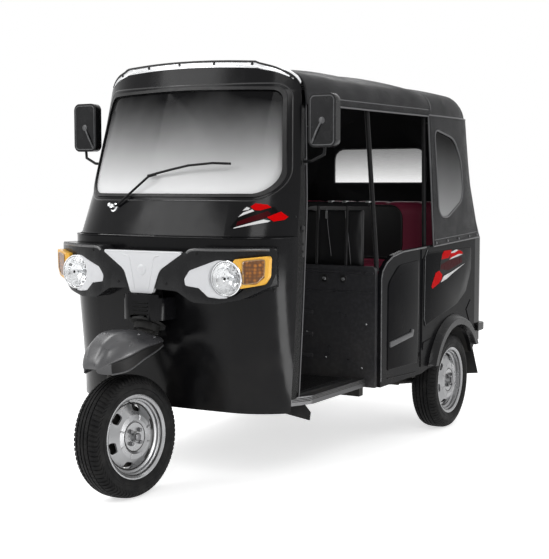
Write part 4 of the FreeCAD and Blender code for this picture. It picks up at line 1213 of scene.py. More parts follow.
# Quarter panels. Columns: place, shoulder, hem, top, start of the bend, its radius.
QUARTER_ARCHES = (
    Arch(0.43, 0.500, 0.560, 1.739, 1.622, 0.095), Arch(1.09, 0.548, 0.596, 1.757, 1.612, 0.088),
    Arch(1.64, 0.594, 0.631, 1.768, 1.608, 0.088), Arch(1.99, 0.607, 0.632, 1.765, 1.604, 0.092),
    Arch(2.11, 0.595, 0.632, 1.752, 1.568, 0.106), Arch(2.21, 0.552, 0.632, 1.726, 1.522, 0.118),
    Arch(2.285, 0.468, 0.629, 1.684, 1.480, 0.128), Arch(2.335, 0.350, 0.590, 1.612, 1.430, 0.120),
)
# Roof cover, which humps over its bows and tucks in at the tail. Same columns.
ROOF_ARCHES = (
    Arch(0.43, 0.500, 0.560, 1.757, 1.622, 0.095), Arch(0.76, 0.525, 0.580, 1.760, 1.617, 0.091),
    Arch(0.97, 0.541, 0.590, 1.761, 1.614, 0.089), Arch(1.08, 0.550, 0.596, 1.779, 1.612, 0.088),
    Arch(1.30, 0.567, 0.610, 1.772, 1.612, 0.090), Arch(1.45, 0.581, 0.620, 1.779, 1.612, 0.094),
    Arch(1.55, 0.589, 0.626, 1.773, 1.611, 0.094), Arch(1.62, 0.592, 0.630, 1.753, 1.608, 0.090),
    Arch(1.68, 0.592, 0.631, 1.744, 1.605, 0.090), Arch(1.78, 0.595, 0.631, 1.753, 1.604, 0.092),
    Arch(1.90, 0.594, 0.632, 1.762, 1.606, 0.096), Arch(2.01, 0.588, 0.632, 1.765, 1.602, 0.102),
    Arch(2.11, 0.575, 0.632, 1.760, 1.594, 0.110), Arch(2.21, 0.549, 0.632, 1.742, 1.567, 0.116),
    Arch(2.285, 0.486, 0.629, 1.708, 1.524, 0.126), Arch(2.335, 0.370, 0.590, 1.630, 1.440, 0.120),
)


def arch_at(arches: Sequence[Arch], place: float) -> Arch:
    """The arch at any place, on a smooth line through the given ones.

    Args:
        arches: the given arches, in order.
        place: the place along the vehicle.

    Returns:
        The arch there.
    """
    last = len(arches) - 2
    i = next((k for k in range(last + 1) if place <= arches[k + 1].place), last)
    before, start, end, after = arches[max(0, i - 1)], arches[i], arches[i + 1], arches[min(last + 1, i + 2)]
    t = min(1.0, max(0.0, (place - start.place) / (end.place - start.place)))

    def along(name: str) -> float:
        """A size's value on the smooth line through the four arches.

        Args:
            name: the size's name.

        Returns:
            Its value at the place.
        """
        a, b, c, d = (getattr(arch, name) for arch in (before, start, end, after))
        run = end.place - start.place
        leave = (c - a) / max(1e-6, end.place - before.place) * run
        arrive = (d - b) / max(1e-6, after.place - start.place) * run
        bulge = t * (1 - t) * ((1 - t) * (leave - (c - b)) - t * (arrive - (c - b)))
        return b + (c - b) * t + bulge

    return Arch(place, *[along(name) for name in ("shoulder", "hem", "top", "bend_start", "bend")])


@dataclass
class Hood:
    """The canvas hood: one stretched sheet, its bound edges, seams, fasteners and window welts."""

    opening_top: float = 1.575
    opening_end: float = 1.632
    hem_front: float = 0.944
    hem_rear: float = 0.967
    seam_height: float = 1.581
    stitch_height: float = 1.606
    back: float = 2.335
    cloth: float = 0.003
    rows: int = 96
    front: float = 0.452
    doorway_share: float = 0.55
    side_rows: int = 14
    bend_rows: int = 7
    crown_rows: int = 12
    side_window: tuple[tuple[float, float, float], ...] = (
        (1.692, 1.516, 0.030), (1.706, 1.086, 0.060), (1.820, 1.084, 0.100), (2.030, 1.172, 0.090),
        (2.016, 1.360, 0.160), (1.920, 1.476, 0.140),
    )
    rear_window: tuple[tuple[float, float, float], ...] = (
        (-0.284, 1.254, 0.008), (0.284, 1.254, 0.008), (0.284, 1.448, 0.062), (-0.284, 1.448, 0.062),
    )

    def build(self) -> None:
        """Builds the sheet and everything sewn or pressed on it."""
        sheet = self.build_sheet()
        trims = [self.build_bindings(), self.build_welts(), self.build_seams(), self.build_fasteners()]

    def hem_height(self, place: float) -> float:
        """The hem's height at a place, climbing slightly to the rear."""
        share = min(1.0, max(0.0, (place - 1.6) / (2.214 - 1.6)))
        return self.hem_front + (self.hem_rear - self.hem_front) * share

    def front_edge(self, x: float) -> float:
        """Where the roof starts behind the header at a distance from the middle.

        Args:
            x: the distance from the middle.

        Returns:
            The place along the vehicle.
        """
        reach = abs(x)
        if reach < 0.28:
            return self.front + 0.032 * (reach / 0.28) ** 2
        return 0.484 + 0.085 * ((reach - 0.28) / 0.19) ** 1.6

    def section(self, place: float) -> list[Vector]:
        """Half a section, from the hem up to the crown's middle.

        Args:
            place: where along the vehicle.

        Returns:
            The section's points on the vehicle's left.
        """
        quarter, roof = arch_at(QUARTER_ARCHES, place), arch_at(ROOF_ARCHES, place)
        hem = self.hem_height(place)
        points = []
        for i in range(self.side_rows + 1):
            height = hem + (self.opening_top - hem) * i / self.side_rows
            points.append(Vector((quarter.side(height), place, height)))
        start = math.asin(min(0.9, max(0.0, (self.seam_height + 0.004 - roof.bend_start) / roof.bend)))
        end = math.radians(76)
        for i in range(self.bend_rows + 1):
            turn = start + (end - start) * i / self.bend_rows
            height = roof.bend_start + roof.bend * math.sin(turn)
            if i == 0:
                height = max(self.seam_height + 0.004, min(height, roof.bend_start))
            across = roof.side(height) if i == 0 else roof.shoulder - roof.bend + roof.bend * math.cos(turn)
            points.append(Vector((across, place, height)))
        edge = points[-1]
        for i in range(1, self.crown_rows + 1):
            across = edge.x * (1 - i / self.crown_rows)
            share = across / edge.x
            points.append(Vector((across, place, roof.top - (roof.top - edge.z) * share**2.2)))
        return points

    def surface_point(self, share: float, row: int, column: int, half: int) -> Vector:
        """A point of the sheet by its row along the vehicle and its column across.

        Args:
            share: how far along the sheet the row is, from 0 to 1.
            row: the row's number.
            column: the column's number, from the left hem to the right one.
            half: the column of the crown's middle.

        Returns:
            The point.
        """
        place = self.row_place(share)
        points = self.section(place)
        point = points[column if column <= half else 2 * half - column].copy()
        ahead = max(0.0, 1.0 - (place - self.front) / 0.35)
        edge = self.front_edge(min(point.x, 0.47))
        point.y = max(place, place + (edge - self.front) * ahead)
        if column > half:
            point.x = -point.x
        return at(*point)

    def row_place(self, share: float) -> float:
        """Places along the vehicle, closer together at the tail, with a row at the opening's end.

        Args:
            share: how far along the rows it is, from 0 to 1.

        Returns:
            The place along the vehicle.
        """
        split = self.doorway_share
        if share <= split:
            return self.front + (self.opening_end - self.front) * share / split
        t = (share - split) / (1 - split)
        return self.opening_end + (self.back - self.opening_end) * (1 - (1 - t) ** 1.35)

    def build_sheet(self) -> bpy.types.Object:
        """Builds the stretched sheet with its openings and windows.

        Returns:
            The sheet's object.
        """
        half = self.side_rows + self.bend_rows + self.crown_rows + 1
        bm = bmesh.new()
        bmesh.ops.create_grid(bm, x_segments=2 * half, y_segments=self.rows, size=0.5)
        last_row = []
        split = self.doorway_share
        split_row = round(split * self.rows)
        for vert in bm.verts:
            column, row = round((vert.co.x + 0.5) * 2 * half), round((vert.co.y + 0.5) * self.rows)
            share = split * row / split_row
            if row > split_row:
                share = split + (1 - split) * (row - split_row) / (self.rows - split_row)
            vert.co = self.surface_point(share, row, column, half)
            if row == self.rows:
                last_row.append((column, vert))
        bm.faces.new([vert for _, vert in sorted(last_row, key=lambda item: item[0])])
        self.open_sides(bm)
        for outline, normal in self.window_cuts():
            cut_out(bm, outline, normal)
        bmesh.ops.recalc_face_normals(bm, faces=bm.faces)
        sheet = finish_mesh(bm, Dressing("hood_sheet", HOOD_CANVAS, slot="canvas", replaces=("hood",),
                                         smooth_angle=44.0))
        thick = sheet.modifiers.new("cloth", "SOLIDIFY")
        thick.thickness = self.cloth
        thick.offset = -1.0
        return sheet

    def open_sides(self, bm: bmesh.types.BMesh) -> None:
        """Takes out the cloth of the doorways and below the front of the roof.

        Args:
            bm: the sheet's bmesh, still whole.
        """
        end, top = self.opening_end + AXLE_Y, self.opening_top
        spare = []
        for face in bm.faces:
            centre = face.calc_center_median()
            if centre.y < end and centre.z < top:
                spare.append(face)
        bmesh.ops.delete(bm, geom=spare, context="FACES")

    def window_cuts(self) -> list[tuple[list[Vector], Vector]]:
        """The windows' outlines, each with the way it is cut through.

        Returns:
            Each outline with the direction of its cut.
        """
        side = rounded_outline([(at(0.6, y, z), radius) for y, z, radius in self.side_window])
        other = [Vector((-point.x, point.y, point.z)) for point in side]
        rear = rounded_outline([(at(x, self.back, z), radius) for x, z, radius in self.rear_window])
        return [(side, LEFT), (other, -LEFT), (rear, BACK)]

    def build_bindings(self) -> bpy.types.Object:
        """Binds the doorway, hem and front edges with piping.

        Returns:
            The binding's object.
        """
        inset = 0.002
        parts = []
        for side in (1, -1):
            top = [self.on_side(side, place, self.opening_top, inset)
                   for place in spread(0.64, self.opening_end, 24)]
            post = [self.on_side(side, self.opening_end, z, inset)
                    for z in spread(self.opening_top, self.hem_front, 16)]
            hem = [self.on_side(side, place, self.hem_height(place), inset)
                   for place in spread(self.opening_end, 2.32, 26)]
            parts.append(tube(top + post[1:] + hem[1:], 0.0042))
            corner = [self.on_side(side, 2.24, z, 0.0) for z in spread(self.hem_rear + 0.02, 1.5, 14)]
            parts.append(tube(corner, 0.0028))
        hem_edge = self.on_side(1, 2.332, self.hem_rear, inset)
        parts.append(tube([hem_edge, Vector((-hem_edge.x, hem_edge.y, hem_edge.z))], 0.0042))
        return finish_mesh(join_meshes(parts), Dressing("hood_binding", PIPING, slot="canvas"))

    def on_side(self, side: int, place: float, height: float, inset: float) -> Vector:
        """A point on a quarter panel, drawn inward by an inset."""
        across = arch_at(QUARTER_ARCHES, place).side(height) - inset
        return at(side * across, place, height)

    def on_roof(self, side: int, place: float, height: float) -> Vector:
        """A point on the roof cover's side."""
        return at(side * (arch_at(ROOF_ARCHES, place).side(height) - 0.001), place, height)

    def build_welts(self) -> bpy.types.Object:
        """Frames the windows with welts.

        Returns:
            The welts' object.
        """
        parts = []
        for outline, normal in self.window_cuts():
            route = dense(outline, 0.016, closed=True)
            if normal.x:
                sign = 1 if normal.x > 0 else -1
                route = [self.on_side(sign, p.y - AXLE_Y, p.z, 0.001) for p in route]
            parts.append(tube(route, 0.0046, closed=True))
        return finish_mesh(join_meshes(parts), Dressing("window_welts", PIPING, slot="canvas"))

    def build_seams(self) -> bpy.types.Object:
        """Sews the roof cover to the quarter panels and over the bows.

        Returns:
            The seams' object.
        """
        parts = []
        for side in (1, -1):
            route = [self.on_side(side, place, self.seam_height, 0.001)
                     for place in spread(self.opening_end, 2.325, 30)]
            parts.append(tube(route, 0.0040))
            stitched = [self.on_roof(side, place, self.stitch_height)
                        for place in spread(0.66, self.opening_end, 24)]
            parts.append(tube(stitched, 0.0022))
            hem = [self.on_side(side, place, self.hem_height(place) + 0.030, 0.0005)
                   for place in spread(self.opening_end + 0.01, 2.30, 26)]
            parts.append(tube(hem, 0.0018))
        for place, radius in ((1.66, 0.0032), (1.665, 0.0018)):
            half = self.section(place)[self.side_rows + 1:]
            route = half + [Vector((-p.x, p.y, p.z)) for p in reversed(half[:-1])]
            parts.append(tube([at(*p) for p in route], radius))
        return finish_mesh(join_meshes(parts), Dressing("hood_seams", PIPING, slot="canvas"))

    def build_fasteners(self) -> bpy.types.Object:
        """Presses turn buttons along the hem.

        Returns:
            The buttons' object.
        """
        heads = []
        for side in (1, -1):
            for place in (1.66, 1.80, 1.95, 2.10, 2.22):
                place_on = self.on_side(side, place, self.hem_height(place) + 0.014, -0.001)
                heads.append(screw_head(place_on, Vector((side, 0, 0.05)), 0.0065))
        for x in (-0.5, -0.3, -0.1, 0.1, 0.3, 0.5):
            heads.append(screw_head(at(x, self.back, self.hem_rear + 0.016), BACK, 0.0065))
        return finish_mesh(join_meshes(heads), Dressing("hood_fasteners", BOLT_STEEL, slot="bright_strip"))


def cut_out(bm: bmesh.types.BMesh, outline: Sequence[Vector], normal: Vector) -> None:
    """Cuts a convex opening through the faces that look its way.

    Args:
        bm: the sheet.
        outline: the opening's corners.
        normal: the way that the cut faces look.
    """
    middle = sum(outline, Vector()) / len(outline)
    reach = max((point - middle).length for point in outline) + 0.05
    inside = []
    for face in bm.faces:
        beside = face.calc_center_median() - middle
        near = beside - normal * beside.dot(normal)
        wide = face.calc_area() > 0.2
        if abs(beside.dot(normal)) < 0.16 and (near.length < reach or wide):
            inside.append(face)
    for start, end in zip(outline, list(outline[1:]) + [outline[0]]):
        if (end - start).length < 1e-5:
            continue
        outward = (end - start).cross(normal).normalized()
        if outward.dot(start - middle) < 0:
            outward = -outward
        geom = list({item for face in inside for item in (*face.verts, *face.edges)}) + inside
        cut = bmesh.ops.bisect_plane(bm, geom=geom, plane_co=start, plane_no=outward, dist=1e-6)["geom"]
        faces = [item for item in cut if isinstance(item, bmesh.types.BMFace)]
        inside = [face for face in faces if (face.calc_center_median() - start).dot(outward) < 0]
    bmesh.ops.delete(bm, geom=inside, context="FACES")


# ---------------------------------------------------------------- wheels


def round_axle(along: float, reach: float, turn: float) -> Vector:
    """A place about the X axis: how far along it, how far from it and the turn round it."""
    return Vector((along, reach * math.cos(turn), reach * math.sin(turn)))


@dataclass
class Wheel:
    """What one road wheel wears: treaded tyre, brake drum, ribs, dark rings of painted shade, nuts, hub cap
    and valve.

    Outward is 1 where the disc faces along the axle and -1 where it faces back along it.
    """

    name: str
    joint: str
    body: Body
    tyre: str
    outward: int = 1
    radius: float = 0.245
    half_width: float = 0.066
    bead_radius: float = 0.160
    units: int = 76
    groove: float = 0.0065
    nuts: int = 4
    nut_circle: float = 0.0345
    hub_face: float = 0.060
    disc_face: float = 0.046
    valve_place: float = 0.024
    valve_reach: float = 0.136
    drum_face: float = 0.010
    ribs: int = 8
    # The dark rings, tubes that paint the shade in the grooves pressed in the disc. Columns: place along the
    # axle, reach, radius.
    rings: tuple[Place, ...] = ((0.0225, 0.1320, 0.0026), (0.0460, 0.0575, 0.0016), (0.0490, 0.1515, 0.0012))

    def build(self) -> None:
        """Builds the wheel's pieces."""
        self.build_tyre()
        self.build_nuts()
        self.build_drum()
        self.build_valve()

    def mount(self, bm: bmesh.types.BMesh, suffix: str, finish: Finish, slot: str) -> None:
        """Turns a part's face outward and mounts it on the wheel.

        Args:
            bm: the part about the wheel's axle, with X outward.
            suffix: its name after the wheel's.
            finish: what it wears.
            slot: its slot, which is not used.
        """
        if self.outward < 0:
            bmesh.ops.scale(bm, vec=(-1, 1, 1), verts=bm.verts)
        self.carry(bm, Dressing(f"{self.name}_{suffix}", finish, self.body, slot))

    def carry(self, bm: bmesh.types.BMesh, dressing: Dressing) -> None:
        """Carries a part from the X axis onto the wheel's axle."""
        place, axle = joint_line(self.joint)
        finish_mesh(moved(bm, facing(place, axle.normalized())), dressing)

    def profile(self) -> list[tuple[float, float]]:
        """The tyre's section as (place along the axle, radius), from bead to bead.

        Returns:
            The section's points.
        """
        w, r, deep = self.half_width, self.radius, self.groove
        half = [
            (0.0, r), (0.0055, r), (0.0065, r - deep), (0.0105, r - deep), (0.0115, r),
            (0.026, r - 0.001), (0.027, r - deep), (0.031, r - deep), (0.032, r - 0.0015),
            (w - 0.022, r - 0.005), (w - 0.013, r - 0.010), (w - 0.006, r - 0.020), (w - 0.0015, r - 0.033),
            (w, r - 0.046), (w - 0.0022, r - 0.052), (w - 0.0008, r - 0.056), (w - 0.003, r - 0.066),
            (w - 0.008, self.bead_radius + 0.010), (w - 0.0125, self.bead_radius + 0.004),
            (w - 0.0135, self.bead_radius - 0.002),
        ]
        return [(-x, rad) for x, rad in reversed(half)] + half[1:]

    def build_tyre(self) -> None:
        """Turns the tyre and cuts its tread."""
        bm = turned_profile(self.profile(), self.units * 4)
        pitch = math.tau / self.units
        for vert in bm.verts:
            reach = math.hypot(vert.co.y, vert.co.z)
            if reach < self.radius - 0.024:
                continue
            turn = math.atan2(vert.co.z, vert.co.y)
            unit, step = divmod(round(turn / pitch * 4), 4)
            stagger = 0.5 * pitch if vert.co.x > 0.004 else 0.0
            share = (0.0, 0.62, 0.70, 0.92)[step]
            shoulder = abs(vert.co.x) > 0.0325
            rib = 0.0118 < abs(vert.co.x) < 0.0262
            in_floor = reach < self.radius - 0.0058 and abs(vert.co.x) < 0.0325
            if step >= 2 and not in_floor and (shoulder or rib):
                reach -= 0.0048 if shoulder else 0.0026
            turn = (unit + share) * pitch + stagger + abs(vert.co.x) * 0.9
            vert.co.y, vert.co.z = reach * math.cos(turn), reach * math.sin(turn)
        tread = Dressing(f"{self.name}_tyre_tread", TYRE_RUBBER, self.body, "tyre", (self.tyre,), 28.0)
        self.carry(bm, tread)

    def build_nuts(self) -> None:
        """Fits the hub cap and the wheel nuts."""
        face = self.hub_face
        parts = [turned_profile([
            (face - 0.004, 0.0165), (face + 0.006, 0.016), (face + 0.0085, 0.0135), (face + 0.0095, 0.007),
            (face + 0.010, 0.0),
        ], 24)]
        for i in range(self.nuts):
            nut = turned_profile([
                (0.0, 0.0095), (0.004, 0.0095), (0.005, 0.008), (0.013, 0.0078), (0.0145, 0.0),
            ], 6)
            place = round_axle(self.disc_face, self.nut_circle, math.tau * (i + 0.5) / self.nuts)
            parts.append(moved(nut, Matrix.Translation(place)))
        self.mount(join_meshes(parts), "hub_cap_and_nuts", BOLT_STEEL, "wheel_steel")

    def build_drum(self) -> None:
        """Turns the brake drum behind the disc's windows, the disc's ribs and the dark rings of painted shade
        on it.
        """
        back, disc = self.drum_face, self.disc_face
        drum = turned_profile([
            (back - 0.014, 0.040), (back - 0.014, 0.122), (back - 0.006, 0.1245), (back, 0.122),
            (back + 0.001, 0.110), (back - 0.001, 0.106), (back - 0.001, 0.070), (back + 0.002, 0.064),
            (back + 0.002, 0.040), (back - 0.014, 0.040),
        ], 48)
        hub_shade_ring = turned_profile([
            (disc + 0.001, 0.0215), (disc + 0.003, 0.0205), (disc + 0.003, 0.0175), (disc - 0.001, 0.0170),
        ], 32)
        # The hub ring and the rings are dark tubes that paint the shade round the hub and in the disc's
        # grooves.
        dark, ribs = [drum, hub_shade_ring], []
        for place, reach, radius in self.rings:
            loop = [round_axle(place, reach, turn) for turn in spread(0.0, math.tau, 73)[:-1]]
            dark.append(tube(loop, radius, closed=True))
        for k in range(self.ribs):
            turn = math.tau * (k + 0.5) / self.ribs
            ribs.append(tube([round_axle(0.0515, 0.068, turn), round_axle(0.0485, 0.088, turn)], 0.0042))
        self.mount(join_meshes(ribs), "disc_ribs", WHEEL_SILVER, "wheel_steel")
        self.mount(join_meshes(dark), "brake_drum_and_shade_rings", UNDER_PAINT, "chassis_paint")

    def build_valve(self) -> None:
        """Fits the valve, leaning out of the rim."""
        valve = turned_profile([
            (0.0, 0.0042), (0.022, 0.0032), (0.0225, 0.0038), (0.030, 0.0036), (0.031, 0.0),
        ], 12)
        lean = Matrix.Rotation(math.radians(20), 4, "Y")
        place = Matrix.Translation((self.valve_place, 0.0, self.valve_reach))
        self.mount(moved(valve, place @ lean), "valve", SEAL_RUBBER, "rubber")


WHEELS = (
    Wheel("front", "front_wheel_spin", Body.FRONT_WHEEL, "front_tyre"),
    Wheel("rear_left", "rear_wheel_left_spin", Body.LEFT_WHEEL, "rear_tyre_left"),
    Wheel("rear_right", "rear_wheel_right_spin", Body.RIGHT_WHEEL, "rear_tyre_right", -1),
)


# ---------------------------------------------------------------- seats


@dataclass
class Pad:
    """A stuffed vinyl pad in the space of its CAD block.

    Swell is how far its faces may bulge, corner its rounding, and channels the places of its sewn channels
    across its width.
    """

    name: str
    node: str
    finish: Finish
    slot: str
    corner: float = 0.03
    swell: float = 0.010
    voxel: float = 0.009
    pressure: float = 4.0
    channels: tuple[float, ...] = ()
    channel_axis: int = 0
    fill: float = 0.7
    inset: float = 0.006
    frames: int = 20

    def build(self) -> bpy.types.Object:
        """Builds the pad from a block in its space."""
        return self.stuff(self.block(*node_box(self.node)))

    def stuff(self, bm: bmesh.types.BMesh) -> bpy.types.Object:
        """Stuffs a plain form: an even skin, swelling, channels and softening.

        Args:
            bm: the form, freed here.

        Returns:
            The pad's object.
        """
        low, high = node_box(self.node)
        piece = finish_mesh(bm, Dressing(self.name, self.finish, slot=self.slot, replaces=(self.node,)))
        self.remesh(piece)
        self.puff(piece, low, high)
        self.sew_channels(piece, low, high)
        smooth = piece.modifiers.new("soften", "SUBSURF")
        smooth.levels = smooth.render_levels = 1
        return piece

    def block(self, low: Vector, high: Vector) -> bmesh.types.BMesh:
        """The pad's starting block, a little smaller than its space, its middle crowned.

        Args:
            low: the lowest corner of its space.
            high: the highest corner of its space.

        Returns:
            The block's bmesh.
        """
        size = high - low - Vector((2, 2, 2)) * self.inset
        bm = rounded_block(tuple(size), min(self.corner, 0.42 * min(size)), 4)
        return moved(bm, Matrix.Translation((low + high) / 2))

    def remesh(self, piece: bpy.types.Object) -> None:
        """Gives the pad an even skin of small faces.

        Args:
            piece: the pad's object.
        """
        even = piece.modifiers.new("even", "REMESH")
        even.mode = "VOXEL"
        even.voxel_size = self.voxel
        even.use_smooth_shade = True
        bake(piece)

    def puff(self, piece: bpy.types.Object, low: Vector, high: Vector) -> None:
        """Swells the pad as stuffed cloth, held near its block.

        Args:
            piece: the pad.
            low: the lowest corner of its space.
            high: the highest corner of its space.
        """
        start = [vert.co.copy() for vert in piece.data.vertices]
        cloth = piece.modifiers.new("stuffing", "CLOTH")
        cloth.settings.quality = 4
        cloth.settings.use_pressure = True
        cloth.settings.uniform_pressure_force = self.pressure
        cloth.settings.tension_stiffness = 12
        cloth.settings.effector_weights.gravity = 0.0
        cloth.collision_settings.use_collision = False
        cloth.point_cache.frame_start = 1
        cloth.point_cache.frame_end = self.frames
        for number in range(1, self.frames + 1):
            bpy.context.scene.frame_set(number)
        bake(piece)
        for vert, origin in zip(piece.data.vertices, start):
            step = vert.co - origin
            if step.length > self.swell:
                vert.co = origin + step * (self.swell / step.length)
            vert.co.x = min(high.x + 0.004, max(low.x - 0.004, vert.co.x))
            vert.co.z = max(low.z, vert.co.z)
        bpy.context.scene.frame_set(1)

    def sew_channels(self, piece: bpy.types.Object, low: Vector, high: Vector) -> None:
        """Draws the skin in along the sewn channels.

        Args:
            piece: the pad.
            low: the lowest corner of its space.
            high: the highest corner of its space.
        """
        axis = self.channel_axis
        middle = (low + high) / 2
        for vert in piece.data.vertices:
            depth = 0.0
            for place in self.channels:
                gap = abs(vert.co[axis] - place) / 0.016
                depth = max(depth, math.exp(-gap * gap))
            pull = (vert.co - middle).normalized() * depth * 0.011
            pull[axis] = 0.0
            vert.co -= pull


def square_edges(bm: bmesh.types.BMesh) -> list[bmesh.types.BMEdge]:
    """The edges where two faces meet almost at a right angle."""
    return [edge for edge in bm.edges if abs(edge.calc_face_angle(0.0)) > 1.2]


def bake(piece: bpy.types.Object) -> None:
    """Applies a piece's modifiers to its mesh.

    Args:
        piece: the piece.
    """
    graph = bpy.context.evaluated_depsgraph_get()
    graph.update()
    made = bpy.data.meshes.new_from_object(piece.evaluated_get(graph))
    old = piece.data
    made.name = old.name
    piece.modifiers.clear()
    piece.data = made
    bpy.data.meshes.remove(old)
    made.shade_smooth()


@dataclass
class Seats:
    """The driver's seat, the passengers' bench and what is sewn on them."""

    bench_channels: tuple[float, ...] = (-0.39, -0.2, 0.0, 0.2, 0.39)
    centre_half: float = 0.30
    centre_top: float = 1.135
    piping: float = 0.0045

    def build(self) -> None:
        """Builds every pad and its piping."""
        Pad("driver_seat_pad", "driver_seat", BLACK_VINYL, "black_vinyl", 0.034,
            channels=(-0.11, 0.11)).build()
        Pad("driver_back_pad", "driver_backrest", BLACK_VINYL, "black_vinyl", 0.012, 0.006, 0.007,
            channels=(-0.27, 0.0, 0.27), fill=0.8).build()
        Pad("bench_seat_pad", "bench_cushion", MAROON_VINYL, "maroon_vinyl", 0.04, 0.014, 0.010,
            channels=self.bench_channels).build()
        self.build_bench_back()
        self.build_centre_panel()
        self.build_piping()

    def build_bench_back(self) -> None:
        """Builds the bench's tall back with its rounded shoulders."""
        low, high = node_box("bench_backrest")
        corners = [
            (Vector((low.x, low.y, low.z)), 0.02), (Vector((high.x, low.y, low.z)), 0.02),
            (Vector((high.x, low.y, high.z)), 0.09), (Vector((low.x, low.y, high.z)), 0.09),
        ]
        middle = (low + high) / 2
        outline = [point + (Vector((middle.x, point.y, middle.z)) - point).normalized() * 0.008
                   for point in rounded_outline(corners, 8)]
        bm = plate(outline, BACK * (high.y - low.y))
        round_rims(bm, square_edges(bm), 0.03, 3)
        Pad("bench_back_pad", "bench_backrest", MAROON_VINYL, "maroon_vinyl", 0.03, 0.012, 0.010,
            channels=self.bench_channels, fill=0.65).stuff(bm)

    def build_centre_panel(self) -> None:
        """Sews the black centre panel on the front of the bench's back."""
        low, high = node_box("bench_backrest")
        front, thick = low.y - 0.013, 0.02
        half = self.centre_half
        corners = [
            (Vector((-half, front, low.z + 0.125)), 0.02), (Vector((half, front, low.z + 0.125)), 0.02),
            (Vector((half, front, self.centre_top)), 0.07), (Vector((-half, front, self.centre_top)), 0.07),
        ]
        bm = plate(rounded_outline(corners, 8), BACK * thick)
        round_rims(bm, square_edges(bm), 0.008, 3)
        panel = finish_mesh(bm, Dressing("bench_centre_panel", BLACK_VINYL, slot="black_vinyl"))

    def build_piping(self) -> None:
        """Sews piping round the bench seat's front edge and the centre panel."""
        low, high = node_box("bench_cushion")
        reach = Vector((0.012, 0.0, 0.0))
        front = [Vector((low.x, low.y + 0.008, high.z - 0.012)) + reach,
                 Vector((high.x, low.y + 0.008, high.z - 0.012)) - reach]
        back_low = node_box("bench_backrest")[0]
        panel = [(Vector((x, back_low.y - 0.012, z)), 0.07) for x, z in (
            (-self.centre_half, 0.86), (self.centre_half, 0.86),
            (self.centre_half, self.centre_top), (-self.centre_half, self.centre_top))]
        parts = [tube(dense(front, 0.03), self.piping),
                 tube(rounded_outline(panel, 8), self.piping, closed=True)]
        finish_mesh(join_meshes(parts), Dressing("seat_piping", BLACK_VINYL, slot="black_vinyl"))


# ---------------------------------------------------------------- cab front


@dataclass
class Headlamps:
    """Round headlamps: chrome ring, reflector bowl with its bulb, and a domed clear lens."""

    x: float = 0.378
    y: float = 0.161
    z: float = 0.878
    radius: float = 0.071
    bulb: float = 0.007

    def build(self) -> None:
        """Builds both lamps."""
        ahead = facing(at(self.x, self.y, self.z), AHEAD)
        r = self.radius
        bowl = [(-0.034, 0.0), (-0.034, 0.012), (-0.030, 0.020), (-0.020, 0.040), (-0.006, 0.056),
                (0.0, r - 0.006)]
        shell = [(0.0, r - 0.006), (0.0, r - 0.001), (-0.036, r - 0.001), (-0.038, r - 0.004), (-0.038, 0.0)]
        bowl = moved(turned_profile(bowl + shell, 48), ahead)
        finish_pair(bowl, Dressing("headlamp_bowls", REFLECTOR, slot="lamp_lens", replaces=("headlamps",)))
        ring = turned_profile([
            (-0.006, r), (0.0015, r), (0.0035, r - 0.002), (0.003, r - 0.0045), (-0.002, r - 0.006),
            (-0.006, r),
        ], 48)
        finish_pair(moved(ring, ahead), Dressing("headlamp_rings", CHROME, slot="bright_strip"))
        dome = [(0.0, r - 0.0045), (0.0035, 0.060), (0.0075, 0.045), (0.0105, 0.028), (0.012, 0.012),
                (0.0124, 0.0)]
        wall = [(along - 0.0022, reach) for along, reach in reversed(dome)]
        lens = turned_profile(dome + wall[1:] + [dome[0]], 48)
        finish_pair(moved(lens, ahead), Dressing("headlamp_lenses", LAMP_LENS, slot="lamp_lens"))
        self.build_bulbs(ahead)
        self.build_facets(ahead)

    def build_bulbs(self, ahead: Matrix) -> None:
        """Builds the bulbs and the small shields in front of them.

        Args:
            ahead: the transform to a lamp's middle, with X forward.
        """
        glass = turned_profile([
            (-0.034, self.bulb), (-0.012, self.bulb), (-0.008, 0.0055), (-0.006, 0.0),
        ], 20)
        cap = turned_profile([(-0.008, 0.010), (-0.006, 0.0115), (-0.004, 0.0105), (-0.0035, 0.0)], 24)
        stay = rounded_block((0.028, 0.002, 0.003), 0.0008, 1)
        stay = moved(stay, Matrix.Translation((-0.02, 0.0, -0.0105)))
        bulbs = moved(join_meshes([glass, cap, stay]), ahead)
        finish_pair(bulbs, Dressing("headlamp_bulbs", CHROME, slot="bright_strip"))

    def build_facets(self, ahead: Matrix) -> None:
        """Presses facets round the reflector bowls.

        Args:
            ahead: the transform to a lamp's middle, with X forward.
        """
        facets = []
        rings = ((-0.024, 0.031, 38, 12), (-0.011, 0.048, 52, 16))
        for ring, (along, reach, tilt, count) in enumerate(rings):
            for k in range(count):
                size = (0.0016, 0.0125, 0.0150) if ring else (0.0016, 0.0105, 0.0130)
                facet = rounded_block(size, 0.0007, 1)
                lean = Matrix.Rotation(math.radians(tilt), 4, "Y")
                spin = Matrix.Rotation(math.tau * (k + 0.5 * ring) / count, 4, "X")
                facets.append(moved(facet, ahead @ spin @ Matrix.Translation((along, 0.0, reach)) @ lean))
        finish_pair(join_meshes(facets), Dressing("headlamp_facets", REFLECTOR, slot="lamp_lens"))


